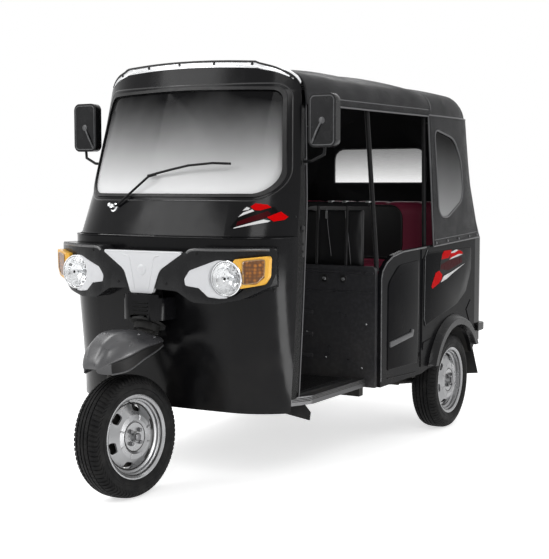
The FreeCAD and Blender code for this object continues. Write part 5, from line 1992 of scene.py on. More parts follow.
@dataclass
class Indicators:
    """What frames the amber lamps: a border in pale amber as a painted highlight, and the patterned window
    inside it.
    """

    outline: tuple[tuple[float, float, float], ...] = (
        (0.448, 0.946, 0.008), (0.520, 0.955, 0.009), (0.517, 0.889, 0.012), (0.497, 0.865, 0.012),
        (0.448, 0.856, 0.008),
    )

    def build(self) -> None:
        """Builds the inner windows and their borders on both sides."""
        skin = Skin("indicators")
        flat = [(Vector((x, 0.0, z)), radius) for x, z, radius in self.outline]
        outline = dense(rounded_outline(flat, 4), 0.006, closed=True)
        # The border's pale amber is a painted highlight round each lamp.
        border = tube(skin.route(outline, BACK, 0.0012), 0.0026, closed=True)
        finish_pair(border, Dressing("indicator_borders", AMBER_HIGHLIGHT, slot="amber_lens"))
        grid = bmesh.new()
        bmesh.ops.create_grid(grid, x_segments=18, y_segments=18, size=0.5)
        low_x, high_x = 0.448, 0.519
        for vert in grid.verts:
            u, v = vert.co.x + 0.5, vert.co.y + 0.5
            floor = 0.857 + 0.026 * max(0.0, (u - 0.62) / 0.38)
            roof = 0.946 + 0.009 * u
            vert.co = Vector((low_x + (high_x - low_x) * u, 0.0, floor + (roof - floor) * v))
        skin.lay(grid, BACK, 0.0014)
        finish_pair(grid, Dressing("indicator_windows", AMBER_DEEP, slot="amber_lens"))


@dataclass
class Fascia:
    """Details of the mask and the silver centre: flutes, a blank boss, screws and the mask's rolled rim,
    whose lighter plastic is a painted highlight.
    """

    rim_reach: tuple[float, float] = (0.215, 0.520)
    rim_drop: float = 0.007

    def build(self) -> None:
        """Builds the fascia's details."""
        self.build_flutes()
        self.build_boss()
        self.build_screws()
        self.build_rim()

    def build_flutes(self) -> None:
        """Builds the two raised flutes beside the centre's boss."""
        skin = Skin("fascia_insert")
        route = from_ahead(((0.088, 0.962), (0.066, 0.957), (0.058, 0.94), (0.050, 0.90), (0.042, 0.862),
                            (0.034, 0.824)))
        points = skin.route(dense(route, 0.006), BACK, -0.0018)
        flute = tube(points, 0.0042)
        finish_pair(flute, Dressing("centre_flutes", SILVER_PLASTIC, slot="silver_plastic"))
        edge = from_ahead(((-0.196, 0.975), (0.196, 0.975)))
        lip = tube(skin.route(dense(edge, 0.008), BACK, -0.0012), 0.0034)
        finish_mesh(lip, Dressing("centre_top_lip", SILVER_PLASTIC, slot="silver_plastic"))

    def build_boss(self) -> None:
        """Builds the plain oval boss in the middle of the silver centre."""
        skin = Skin("fascia_insert")
        place, normal = skin.hit(Vector((0.0, 0.0, 0.902)), BACK)
        boss = turned_profile([
            (-0.002, 0.0225), (0.001, 0.0225), (0.0026, 0.020), (0.0034, 0.012), (0.0036, 0.0),
        ], 36)
        finish_mesh(moved(boss, facing(place, normal)),
                    Dressing("centre_boss", SILVER_PLASTIC, slot="silver_plastic"))

    def build_rim(self) -> None:
        """Rolls the mask's upper edge, just below where its face begins, in lighter plastic as a painted
        highlight.
        """
        skin = Skin("front_fascia")
        route = []
        for x in spread(self.rim_reach[0], self.rim_reach[1], 48):
            heights = (z for z in spread(1.03, 0.90, 66) if skin.hit(Vector((x, 0.0, z)), BACK))
            top = next(heights, None)
            if top is not None:
                route.append(skin.hit(Vector((x, 0.0, top - self.rim_drop)), BACK, -0.003)[0])
        rim = tube(route, 0.0065, smooth=True)
        finish_pair(rim, Dressing("mask_rim", RIM_HIGHLIGHT_PLASTIC, slot="mask_plastic"))

    def build_screws(self) -> None:
        """Builds the mask's screws near its ends and below it."""
        places = from_ahead(((0.530, 0.935), (0.12, 0.850), (0.26, 0.975), (0.50, 0.825)))
        heads = Skin("front_fascia", "apron").screws(places, BACK, 0.0055)
        finish_pair(heads, Dressing("mask_screws", FRAME_PAINT))


@dataclass
class ScreenTrim:
    """Trim round the screen: the header's bright strip, a pressed step, wiper fittings and edge bolts."""

    sill: float = 1.205
    head: float = 1.632
    strip_reach: float = 0.465
    strip_height: float = 0.024
    strip_rivets: tuple[float, ...] = (-0.37, -0.20, -0.03, 0.14, 0.31, 0.455)

    def build(self) -> None:
        """Builds the screen's trim."""
        self.build_strip()
        self.build_step()
        self.build_wiper_fittings()
        self.build_edge_bolts()

    def build_strip(self) -> None:
        """Stands the bright strip up along the header, with its rivets and the dark beading on its edge."""
        crown = Skin("header_strip", "screen_frame")
        bm = bmesh.new()
        bmesh.ops.create_grid(bm, x_segments=60, y_segments=1, size=1.0)
        for vert in bm.verts:
            vert.co = self.strip_point(crown, vert.co.x * self.strip_reach, (vert.co.y + 1) / 2)
        strip = finish_mesh(bm, Dressing("header_upstand", BRIGHT_TRIM, slot="bright_strip"))
        thick = strip.modifiers.new("sheet", "SOLIDIFY")
        thick.thickness, thick.offset = 0.002, 0.0
        edge = [self.strip_point(crown, x, 1.0) for x in spread(-self.strip_reach, self.strip_reach, 60)]
        finish_mesh(tube(edge, 0.0036), Dressing("header_beading", SEAL_RUBBER, slot="rubber"))
        ahead = Vector((0, -1, 0.1))
        heads = [screw_head(self.strip_point(crown, x, 0.55), ahead, 0.0066) for x in self.strip_rivets]
        finish_mesh(join_meshes(heads), Dressing("header_rivets", FRAME_PAINT))

    def strip_point(self, crown: Skin, x: float, share: float) -> Vector:
        """A point of the bright strip.

        Args:
            crown: the header's skin, which the strip stands on.
            x: the distance from the vehicle's middle.
            share: how far up the strip, from 0 to 1.

        Returns:
            The point.
        """
        place = at(x, self.strip_place(x) - 0.004, 1.9)
        found = crown.hit(place, DOWN)
        foot = found[0].z if found else 1.74
        fall = max(0.0, (abs(x) - 0.30) / (self.strip_reach - 0.30))
        place.z = foot - 0.003 + share * (self.strip_height * (1 - 0.75 * fall**3))
        return place

    def strip_place(self, x: float) -> float:
        """Where the middle of the header strip runs at a distance from the vehicle's middle.

        Args:
            x: the distance from the vehicle's middle.

        Returns:
            The place along the vehicle.
        """
        reach = abs(x)
        if reach < 0.28:
            return 0.438 + 0.03 * (reach / 0.28) ** 2
        return 0.468 + 0.085 * ((reach - 0.28) / 0.2) ** 1.7

    def screen_outline(self, grow: float) -> list[Vector]:
        """The screen's outline seen from the front, grown by a distance.

        Args:
            grow: how far the outline is grown.

        Returns:
            The outline's points, drawn flat.
        """
        corners = [
            (-0.49 - grow, self.sill - grow, 0.095 + grow),
            (0.49 + grow, self.sill - grow, 0.095 + grow),
            (0.438 + grow, self.head + grow, 0.042 + grow),
            (-0.438 - grow, self.head + grow, 0.042 + grow),
        ]
        return rounded_outline([(Vector((x, 0.0, z)), radius) for x, z, radius in corners], 10)

    def build_step(self) -> None:
        """Rolls the pressed step round the screen's gasket."""
        skin = Skin("windscreen_gasket", "screen_frame")
        route = dense(self.screen_outline(0.026), 0.012, closed=True)
        points = skin.route(route, BACK, -0.0024)
        finish_mesh(tube(points, 0.0040, closed=True), Dressing("screen_pressed_step", BEAD_PAINT))

    def build_wiper_fittings(self) -> None:
        """Fits the wiper's spindle cap and its washer jet."""
        skin = Skin("screen_frame")
        place, normal = skin.hit(at(-0.256, 0.262, 1.146), BACK)
        cap = turned_profile([(0.0, 0.020), (0.006, 0.0195), (0.010, 0.014), (0.020, 0.0125), (0.026, 0.0095),
                              (0.028, 0.0)], 24)
        jet = turned_profile([(0.0, 0.0085), (0.006, 0.008), (0.010, 0.0045), (0.012, 0.0)], 16)
        side, side_normal = skin.hit(at(-0.292, 0.262, 1.158), BACK)
        parts = [moved(cap, facing(place, normal)), moved(jet, facing(side, side_normal))]
        finish_mesh(join_meshes(parts), Dressing("wiper_spindle_cap", CHROME, slot="bright_strip"))

    def build_edge_bolts(self) -> None:
        """Bolts the front pressings along their door edges."""
        places = [at(0.52, 0.44, z) for z in (1.56, 1.42, 1.30, 1.115, 0.985, 0.78, 0.60, 0.44)]
        bolts = Skin("screen_frame", "apron").screws(places, Vector((-1, 0.15, 0)), 0.0050)
        finish_pair(bolts, Dressing("door_edge_bolts", FRAME_PAINT))


@dataclass
class CowlTrim:
    """Louvres of the nose cowl."""

    def build(self) -> None:
        """Builds the cowl's louvres."""
        skin = Skin("nose_cowl")
        slats = []
        for k in range(4):
            z = 0.725 + 0.015 * k
            route = from_ahead((x, z) for x in spread(-0.028 - 0.004 * (k % 2), 0.046, 9))
            slats.append(tube(skin.route(route, BACK), 0.0030))
        finish_mesh(join_meshes(slats), Dressing("cowl_louvres", STRIPE_BLACK, slot="mask_plastic"))


# How far the steering is turned at rest, in degrees.
STEERING_REST = -6.6


def steering_rest() -> Matrix:
    """The turn from the steering set straight ahead to the way it rests.

    Returns:
        The turn about its axis.
    """
    place, axis = joint_line("steering_turn")
    pivot = Matrix.Translation(place)
    return pivot @ Matrix.Rotation(math.radians(STEERING_REST), 4, axis) @ pivot.inverted()


def curve_through(rows: Sequence[Sequence[float]], share: float) -> list[float]:
    """A place on a smooth line through rows of numbers.

    Args:
        rows: the rows, evenly spaced along the line.
        share: how far along the line, from 0 to 1.

    Returns:
        The numbers there.
    """
    reach = share * (len(rows) - 1)
    i = min(len(rows) - 2, int(reach))
    t = reach - i
    before, start, end, after = rows[max(0, i - 1)], rows[i], rows[i + 1], rows[min(len(rows) - 1, i + 2)]
    return [
        b + 0.5 * t * (c - a + t * (2 * a - 5 * b + 4 * c - d + t * (3 * (b - c) + d - a)))
        for a, b, c, d in zip(before, start, end, after)
    ]


@dataclass
class Mudguard:
    """The front mudguard: a thin crested shell with a rolled edge, a dark band of painted shade low on each
    side, a lip in lighter paint as a painted highlight, and its bolts.
    """

    # Sections: place along the vehicle, half width, lower edge, crown.
    sections: tuple[tuple[float, float, float, float], ...] = (
        (-0.179, 0.030, 0.533, 0.535), (-0.177, 0.041, 0.521, 0.562), (-0.160, 0.061, 0.515, 0.598),
        (-0.128, 0.081, 0.513, 0.638), (-0.064, 0.102, 0.522, 0.669), (0.020, 0.108, 0.556, 0.669),
        (0.100, 0.100, 0.578, 0.653), (0.160, 0.078, 0.592, 0.634),
    )
    # Half a section, from the rolled edge up to the crest: share of the half width, share of the height.
    profile: tuple[tuple[float, float], ...] = (
        (0.940, -0.005), (0.930, 0.100), (0.930, 0.260), (0.945, 0.340), (1.000, 0.385), (0.995, 0.480),
        (0.935, 0.620), (0.800, 0.775), (0.590, 0.880), (0.480, 0.950), (0.360, 0.985), (0.180, 0.998),
        (0.0, 1.0),
    )
    across: int = 72
    along: int = 44
    thickness: float = 0.0028
    neck: float = 0.054
    bolt_places: tuple[tuple[float, float], ...] = (
        (-0.035, -0.020), (0.040, 0.012), (0.045, 0.095), (-0.045, 0.095),
    )
    # How far across and from where along the shell the band of painted shade runs.
    shade_band_share: float = 0.26
    shade_band_start: float = 0.40

    def build(self) -> None:
        """Builds the shell, then what is bolted to it."""
        bm = bmesh.new()
        bmesh.ops.create_grid(bm, x_segments=self.across, y_segments=self.along, size=1.0)
        for vert in bm.verts:
            vert.co = self.surface_point(vert.co.x, (vert.co.y + 1) / 2)
        self.open_neck(bm)
        bmesh.ops.recalc_face_normals(bm, faces=bm.faces)
        turn = steering_rest()
        shell = finish_mesh(moved(bm, turn), Dressing("mudguard_shell", MUDGUARD_PLASTIC, Body.STEERING,
                                                      "mask_plastic", ("front_mudguard",), 60.0))
        thick = shell.modifiers.new("wall", "SOLIDIFY")
        thick.thickness, thick.offset = self.thickness, -1.0
        self.build_shade_band(turn)
        bolts = []
        for x, y in self.bolt_places:
            share = next(k / 60 for k in range(61) if curve_through(self.sections, k / 60)[0] >= y)
            place, half, *_ = curve_through(self.sections, share)
            bolts.append(screw_head(self.surface_point(x / half, share), Vector((0, 0.1, 1)), 0.0055))
        finish_mesh(moved(join_meshes(bolts), turn), Dressing("mudguard_bolts", BOLT_STEEL, Body.STEERING,
                                                              "bright_strip"))

    def surface_point(self, side: float, share: float) -> Vector:
        """A point of the shell.

        Args:
            side: how far across, from -1 at the right edge to 1 at the left one.
            share: how far along, from 0 at the nose to 1 at the tail.

        Returns:
            The point, with the steering set straight ahead.
        """
        place, half, low, top = curve_through(self.sections, share)
        wide, high = curve_through(self.profile, 1 - abs(side))
        return at(math.copysign(half * wide, side), place, low + (top - low) * high)

    def build_shade_band(self, turn: Matrix) -> None:
        """Lays a dark band of painted shade along the lower edge on both sides, and rolls a lip along it in
        lighter paint as a painted highlight.

        Args:
            turn: the steering's turn at rest.
        """
        bands, lips = [], []
        for side in (-1, 1):
            band = bmesh.new()
            bmesh.ops.create_grid(band, x_segments=8, y_segments=40, size=1.0)
            for vert in band.verts:
                reach = 1 - self.shade_band_share * (vert.co.x + 1) / 2
                share = self.shade_band_start + (1 - self.shade_band_start) * (vert.co.y + 1) / 2
                vert.co = self.surface_point(side * reach, share) + Vector((side * 0.0012, 0, 0))
            bmesh.ops.recalc_face_normals(band, faces=band.faces)
            bands.append(band)
            edge = [self.surface_point(side, share) for share in spread(self.shade_band_start, 1.0, 24)]
            lips.append(tube(edge, 0.0038))
        # The band is painted shade; the lip's lighter paint is a painted highlight.
        finish_mesh(moved(join_meshes(bands), turn), Dressing("mudguard_shade_band", FRAME_PAINT, Body.STEERING,
                                                              "mask_plastic"))
        finish_mesh(moved(join_meshes(lips), turn), Dressing("mudguard_lip", HIGHLIGHT_EDGE_PAINT, Body.STEERING,
                                                             "mask_plastic"))

    def open_neck(self, bm: bmesh.types.BMesh) -> None:
        """Opens the shell where the fork's crown comes through, with a round edge.

        Args:
            bm: the shell's bmesh.
        """
        pivot, axis = joint_line("steering_turn")

        def beside(point: Vector) -> Vector:
            """The way from the steering's axis straight out to a point."""
            away = point - pivot
            return away - axis * away.dot(axis)

        spare = [face for face in bm.faces if beside(face.calc_center_median()).length < self.neck]
        bmesh.ops.delete(bm, geom=spare, context="FACES")
        for vert in bm.verts:
            away = beside(vert.co)
            if vert.is_boundary and away.length < self.neck + 0.012:
                vert.co += away.normalized() * (self.neck - away.length)


# ---------------------------------------------------------------- body sides


def across(points: Iterable[tuple[float, float]], x: float) -> list[Vector]:
    """Places on the body's left side from pairs of place along the vehicle and height."""
    return [at(x, y, z) for y, z in points]


@dataclass
class BodySides:
    """Pressings, beads and stripe films of both body sides."""

    face: float = 0.620
    film: float = 0.6252
    panel: tuple[tuple[float, float, float], ...] = (
        (1.126, 0.402, 0.012), (1.470, 0.395, 0.02), (1.472, 0.888, 0.02), (1.245, 0.876, 0.11),
        (1.130, 0.800, 0.06),
    )
    quarter: tuple[tuple[float, float, float], ...] = (
        (1.541, 0.556, 0.02), (1.960, 0.636, 0.06), (2.080, 0.690, 0.05), (2.152, 0.800, 0.05),
        (2.152, 0.918, 0.02), (1.552, 0.918, 0.02),
    )
    films: tuple[tuple[Finish, float, tuple[tuple[float, float], ...]], ...] = (
        (STRIPE_BLACK, 0.0, (
            (1.741, 0.896), (1.830, 0.917), (1.975, 0.916), (2.028, 0.905), (2.084, 0.854), (2.020, 0.838),
            (1.834, 0.802), (1.744, 0.793), (1.714, 0.817), (1.728, 0.855))),
        (STRIPE_DEEP, 0.0004, (
            (1.738, 0.850), (1.832, 0.866), (2.008, 0.876), (2.017, 0.846), (1.895, 0.826), (1.834, 0.816),
            (1.726, 0.826))),
        (STRIPE_RED, 0.0004, (
            (1.775, 0.916), (1.871, 0.917), (1.867, 0.898), (1.832, 0.878), (1.742, 0.875), (1.753, 0.901))),
        (STRIPE_RED, 0.0004, (
            (1.871, 0.901), (1.964, 0.912), (2.012, 0.903), (2.029, 0.891), (1.913, 0.882), (1.845, 0.871))),
        (STRIPE_RED, 0.0004, (
            (1.671, 0.813), (1.714, 0.821), (1.752, 0.800), (1.748, 0.778), (1.706, 0.757), (1.634, 0.738),
            (1.618, 0.748), (1.645, 0.782))),
        (STRIPE_WHITE, 0.0008, (
            (1.863, 0.900), (1.871, 0.907), (1.933, 0.916), (1.962, 0.911), (1.913, 0.901))),
        (STRIPE_WHITE, 0.0008, (
            (1.845, 0.869), (1.872, 0.878), (1.965, 0.891), (2.023, 0.888), (1.965, 0.880))),
        (STRIPE_WHITE, 0.0008, (
            (1.735, 0.761), (1.774, 0.791), (1.864, 0.804), (2.056, 0.839), (1.875, 0.793), (1.815, 0.775))),
    )

    def build(self) -> None:
        """Builds the pressings, then the films on them."""
        parts = [self.pressing(self.panel, 0.0045), self.pressing(self.quarter, 0.0040)]
        for start, end in (((1.500, 0.37), (1.500, 0.935)), ((1.588, 0.925), (1.520, 0.885)),
                           ((1.520, 0.885), (1.512, 0.46))):
            parts.append(tube(across((start, end), self.face), 0.0042))
        for start, end in (((2.156, 0.504), (2.095, 0.594)), ((2.095, 0.594), (2.150, 0.640)),
                           ((1.524, 0.448), (1.533, 0.484)), ((1.533, 0.484), (1.640, 0.496)),
                           ((1.130, 0.366), (1.440, 0.352)), ((1.486, 0.442), (1.467, 0.408))):
            parts.append(tube(across((start, end), self.face), 0.0032))
        finish_pair(join_meshes(parts), Dressing("side_pressings", SIDE_PAINT))
        self.build_edges()
        self.build_step()
        self.build_films()

    def build_edges(self) -> None:
        """Rolls the edges in lighter paint as a painted highlight: the side's front and top, and the
        quarter's seam.
        """
        edge = [(1.061, 0.36), (1.061, 0.824), (1.075, 0.859), (1.118, 0.893), (1.182, 0.919), (1.292, 0.935),
                (1.560, 0.944)]
        seam = ((1.575, 0.93), (1.546, 0.90), (1.541, 0.60), (1.552, 0.566))
        lines = [tube(across(edge, self.face - 0.001), 0.0042),
                 tube(across(seam, self.face + 0.0025), 0.0022)]
        finish_pair(join_meshes(lines), Dressing("side_rolled_edges", HIGHLIGHT_EDGE_PAINT))

    def pressing(self, corners: Sequence[tuple[float, float, float]], height: float) -> bmesh.types.BMesh:
        """A shallow raised panel.

        Args:
            corners: its corners as place along the vehicle, height and radius.
            height: how far it stands off the side.

        Returns:
            The panel's bmesh.
        """
        outline = rounded_outline([(at(self.face - 0.002, y, z), radius) for y, z, radius in corners], 8)
        return plate(outline, Vector((height + 0.002, 0, 0)), 0.0036)

    def build_step(self) -> None:
        """Presses the slanted grab ledge into each front panel, in lighter paint as a painted highlight."""
        corners = ((1.141, 0.506), (1.392, 0.530), (1.405, 0.562), (1.382, 0.566), (1.372, 0.553),
                   (1.141, 0.532))
        ledge = rounded_outline([(at(self.face + 0.002, y, z), 0.005) for y, z in corners], 4)
        finish_pair(plate(ledge, Vector((0.010, 0, 0)), 0.004), Dressing("side_ledges", HIGHLIGHT_EDGE_PAINT))

    def build_films(self) -> None:
        """Sticks the plain diagonal stripes on the quarters."""
        for i, (finish, lift, shape) in enumerate(self.films):
            film = plate(across(shape, self.film + lift - 0.0012), Vector((0.0012, 0, 0)))
            finish_pair(film, Dressing(f"quarter_stripe_{i + 1}", finish))


@dataclass
class BeltTrim:
    """The seam under the belt and the plain stripe films beside it."""

    seam: float = 1.035
    films: tuple[tuple[Finish, float, tuple[tuple[float, float], ...]], ...] = (
        (STRIPE_BLACK, 0.0010, (
            (0.333, 1.072), (0.355, 1.110), (0.399, 1.140), (0.472, 1.155), (0.487, 1.134), (0.459, 1.113),
            (0.352, 1.073))),
        (STRIPE_DEEP, 0.0014, (
            (0.357, 1.080), (0.358, 1.096), (0.454, 1.139), (0.468, 1.127), (0.450, 1.110))),
        (STRIPE_RED, 0.0018, (
            (0.394, 1.156), (0.409, 1.169), (0.449, 1.164), (0.463, 1.153), (0.431, 1.141), (0.411, 1.142))),
        (STRIPE_RED, 0.0018, (
            (0.456, 1.114), (0.493, 1.136), (0.515, 1.115), (0.507, 1.103), (0.479, 1.097))),
        (STRIPE_WHITE, 0.0018, (
            (0.348, 1.069), (0.350, 1.073), (0.448, 1.105), (0.470, 1.100), (0.462, 1.094))),
        (STRIPE_WHITE, 0.0018, (
            (0.357, 1.114), (0.372, 1.132), (0.402, 1.145), (0.411, 1.138), (0.374, 1.122))),
        (STRIPE_WHITE, 0.0018, ((0.368, 1.140), (0.381, 1.155), (0.394, 1.150), (0.390, 1.143))),
    )

    def build(self) -> None:
        """Builds the seam and the films."""
        skin = Skin("screen_frame", "apron")
        route = from_ahead((x, self.seam) for x in spread(-0.538, 0.538, 90))
        seam = [tube(skin.route([point + Vector((0, 0, rise)) for point in route], BACK, lift), radius)
                for rise, lift, radius in ((0.0035, -0.001, 0.0034), (-0.0035, -0.0012, 0.0030))]
        finish_mesh(join_meshes(seam), Dressing("belt_seam", BLACK_PAINT))
        for i, (finish, lift, shape) in enumerate(self.films):
            bm = bmesh.new()
            bm.faces.new([bm.verts.new((x, 0.0, z)) for x, z in shape])
            bmesh.ops.triangulate(bm, faces=bm.faces)
            bmesh.ops.subdivide_edges(bm, edges=bm.edges, cuts=7, use_grid_fill=True)
            skin.lay(bm, BACK, lift)
            finish_mesh(bm, Dressing(f"belt_stripe_{i + 1}", finish))


# ---------------------------------------------------------------- cab interior


@dataclass
class Cab:
    """What is seen through the doorway: pillar flanges, partition, mat, pedal and door hinges."""

    front: float = 1.030
    curtain: float = 1.068
    # The door's front edge. Columns: height, place across, place along the vehicle.
    door_edge: tuple[Place, ...] = (
        (0.372, 0.534, 0.404), (0.60, 0.540, 0.416), (0.82, 0.546, 0.424), (1.035, 0.549, 0.434),
        (1.205, 0.532, 0.478), (1.42, 0.513, 0.520), (1.632, 0.493, 0.558),
    )

    def build(self) -> None:
        """Builds the cab's details."""
        self.build_pillars()
        self.build_partition()
        self.build_curtain()
        self.build_floor()

    def build_pillars(self) -> None:
        """Builds the flange behind each door edge with its edge strip, in lighter vinyl as a painted
        highlight, and hinges.
        """
        bm = bmesh.new()
        rows = [[bm.verts.new(at(x - 0.006, y, z)), bm.verts.new(at(x - 0.010, y + self.flange(z), z))]
                for z, x, y in self.door_edge]
        for low, high in zip(rows, rows[1:]):
            bm.faces.new((low[0], low[1], high[1], high[0]))
        bmesh.ops.solidify(bm, geom=bm.faces, thickness=0.003)
        finish_pair(bm, Dressing("door_pillar_flanges", BLACK_PAINT))
        # The seal line along the flange's rear edge, in lighter vinyl as a painted highlight.
        strip = tube([at(x - 0.009, y + self.flange(z), z) for z, x, y in self.door_edge], 0.0030,
                     smooth=True)
        finish_pair(strip, Dressing("door_edge_strips", PIPING, slot="rubber"))
        hinges = []
        for z in (1.057, 1.002, 0.972):
            hinges.append(screw_head(at(0.541, 0.484, z), LEFT, 0.0058))
        leaf = rounded_outline([(at(0.5385, y, z), 0.008) for y, z in (
            (0.470, 0.950), (0.499, 0.950), (0.499, 1.078), (0.470, 1.078))], 4)
        hinges.append(plate(leaf, Vector((0.0025, 0, 0)), 0.001))
        finish_pair(join_meshes(hinges), Dressing("door_hinges", FRAME_PAINT))

    def flange(self, height: float) -> float:
        """How deep the pillar's flange is at a height."""
        return 0.075 if height < 1.3 else 0.05

    def build_partition(self) -> None:
        """Builds the bulkhead's ledge, seam, swages, knobs and bolts."""
        parts = [tube([at(-0.596, self.front, 0.851), at(0.596, self.front, 0.851)], 0.0055)]
        parts.append(tube([at(-0.590, self.front, 0.765), at(0.590, self.front, 0.765)], 0.0028))
        for z in (0.66, 0.56, 0.46):
            swage = rounded_block((0.58, 0.008, 0.020), 0.0038, 2)
            parts.append(moved(swage, Matrix.Translation(at(0.0, self.front, z))))
        finish_mesh(join_meshes(parts), Dressing("partition_swages", CAB_PAINT))
        knobs, seats = [], []
        for x in (0.350, 0.446):
            toward = facing(at(x, self.front, 0.820), AHEAD)
            knob = turned_profile([(0.0, 0.0085), (0.008, 0.0085), (0.012, 0.0065), (0.0135, 0.0)], 16)
            knobs.append(moved(knob, toward))
            seat = turned_profile([(0.0, 0.019), (0.0035, 0.0185), (0.005, 0.015), (0.005, 0.0)], 24)
            seats.append(moved(seat, toward))
        for x, z in ((0.257, 0.569), (0.357, 0.457), (0.539, 0.420), (0.560, 0.62)):
            knobs.append(screw_head(at(x, self.front, z), AHEAD, 0.0045))
        finish_pair(join_meshes(knobs), Dressing("partition_knobs", BRUSHED, slot="aluminium"))
        finish_pair(join_meshes(seats), Dressing("knob_washers", SEAL_RUBBER, slot="rubber"))

    def build_curtain(self) -> None:
        """Pipes the back panel, and clamps it to the partition's rail."""
        lines = (((0.302, 1.128), (0.296, 1.06), (0.292, 0.99), (0.294, 0.90)),
                 ((0.338, 1.135), (0.340, 1.07), (0.352, 1.00), (0.362, 0.92)),
                 ((0.441, 1.118), (0.444, 1.04), (0.456, 0.96), (0.462, 0.884)))
        piping = [tube([at(x, self.curtain, z) for x, z in line], 0.0016, smooth=True) for line in lines]
        finish_pair(join_meshes(piping), Dressing("back_panel_piping", PIPING, slot="black_vinyl"))
        clamps = []
        for x in (0.368, 0.440, 0.556):
            clamp = rounded_block((0.020, 0.030, 0.008), 0.0025, 2)
            clamps.append(moved(clamp, Matrix.Translation(at(x, 1.058, 1.168))))
        for x in (0.338, 0.441):
            clamps.append(moved(rounded_block((0.010, 0.006, 0.036), 0.002, 2),
                                Matrix.Translation(at(x, 1.066, 1.108))))
        finish_pair(join_meshes(clamps), Dressing("rail_clamps", BRUSHED, slot="aluminium"))

    def build_floor(self) -> None:
        """Lays the ribbed floor mat and fits the brake pedal."""
        sheet = rounded_outline([(at(x, y, 0.3722), 0.03) for x, y in (
            (-0.49, 0.43), (0.49, 0.43), (0.515, 1.0), (-0.515, 1.0))], 4)
        ribs = [plate(sheet, Vector((0, 0, 0.003)), 0.001)]
        for k in range(34):
            y = 0.455 + 0.016 * k
            rib = rounded_block((0.94, 0.006, 0.003), 0.0012, 1)
            ribs.append(moved(rib, Matrix.Translation(at(0.0, y, 0.3762))))
        finish_mesh(join_meshes(ribs), Dressing("floor_mat", SEAL_RUBBER, slot="rubber"))
        pad = rounded_block((0.070, 0.012, 0.055), 0.005, 2)
        tread = [moved(rounded_block((0.060, 0.004, 0.004), 0.0015, 1),
                       Matrix.Translation((0, 0.007, 0.012 * k))) for k in (-1.5, -0.5, 0.5, 1.5)]
        pad = moved(join_meshes([pad] + tread), Matrix.Translation(at(-0.17, 0.44, 0.475))
                    @ Matrix.Rotation(math.radians(30), 4, "X"))
        arm = tube([at(-0.17, 0.425, 0.372), at(-0.17, 0.405, 0.43), at(-0.17, 0.436, 0.47)], 0.008)
        finish_mesh(join_meshes([pad, arm]), Dressing("brake_pedal", FRAME_PAINT))


# ---------------------------------------------------------------- controls


@dataclass
class Controls:
    """What is fitted on the handlebar: grips, switch boxes, levers and the dial."""

    head: tuple[float, float] = (0.3074, 1.006)
    # One rib round a grip: place along the grip, radius.
    grip_rib: tuple[tuple[float, float], ...] = (
        (-0.0024, 0.017), (-0.0016, 0.0186), (0.0016, 0.0186), (0.0024, 0.017),
    )

    def build(self) -> None:
        """Builds the controls, turned with the handlebar at rest."""
        turn = steering_rest()
        grips, boxes, levers = [], [], []
        for side in (-1, 1):
            inner = self.on_bar(side * 0.182, 0.143, 0.022)
            outer = self.on_bar(side * 0.228, 0.193, 0.007)
            along = (outer - inner).normalized()
            for point in stations(inner, outer, 9):
                rib = turned_profile(self.grip_rib, 20)
                grips.append(moved(rib, facing(point, along)))
            box_place = self.on_bar(side * 0.158, 0.121, 0.028)
            boxes.append(moved(rounded_block((0.034, 0.040, 0.038), 0.008, 3), facing(box_place, along)))
            start = box_place + Vector((side * 0.006, -0.022, 0.0))
            end = self.on_bar(side * 0.224, 0.150, 0.0)
            bend = start.lerp(end, 0.5) + Vector((side * 0.006, -0.012, 0))
            levers.append(tube([start, bend, end], 0.0042, smooth=True))
        for name, parts, finish, slot in (
            ("grip_ribs", grips, GRIP_RUBBER, "rubber"),
            ("switch_boxes", boxes, MASK_PLASTIC, "mask_plastic"),
            ("brake_levers", levers, BRUSHED, "aluminium"),
            ("speed_dial", [self.dial()], CHROME, "bright_strip"),
        ):
            finish_mesh(moved(join_meshes(parts), turn), Dressing(name, finish, Body.STEERING, slot))

    def on_bar(self, out: float, back: float, up: float) -> Vector:
        """A place given from the handlebar's head."""
        return at(out, self.head[0] + back, self.head[1] + up)

    def dial(self) -> bmesh.types.BMesh:
        """The bezel of the dial on the binnacle's rear slope.

        Returns:
            The bezel's bmesh.
        """
        place = self.on_bar(0.0, 0.061, 0.030)
        ring = turned_profile([(0.0, 0.026), (0.005, 0.026), (0.006, 0.023), (0.001, 0.021), (0.0, 0.0)], 32)
        return moved(ring, facing(place, Vector((0, 1, 0.1))))


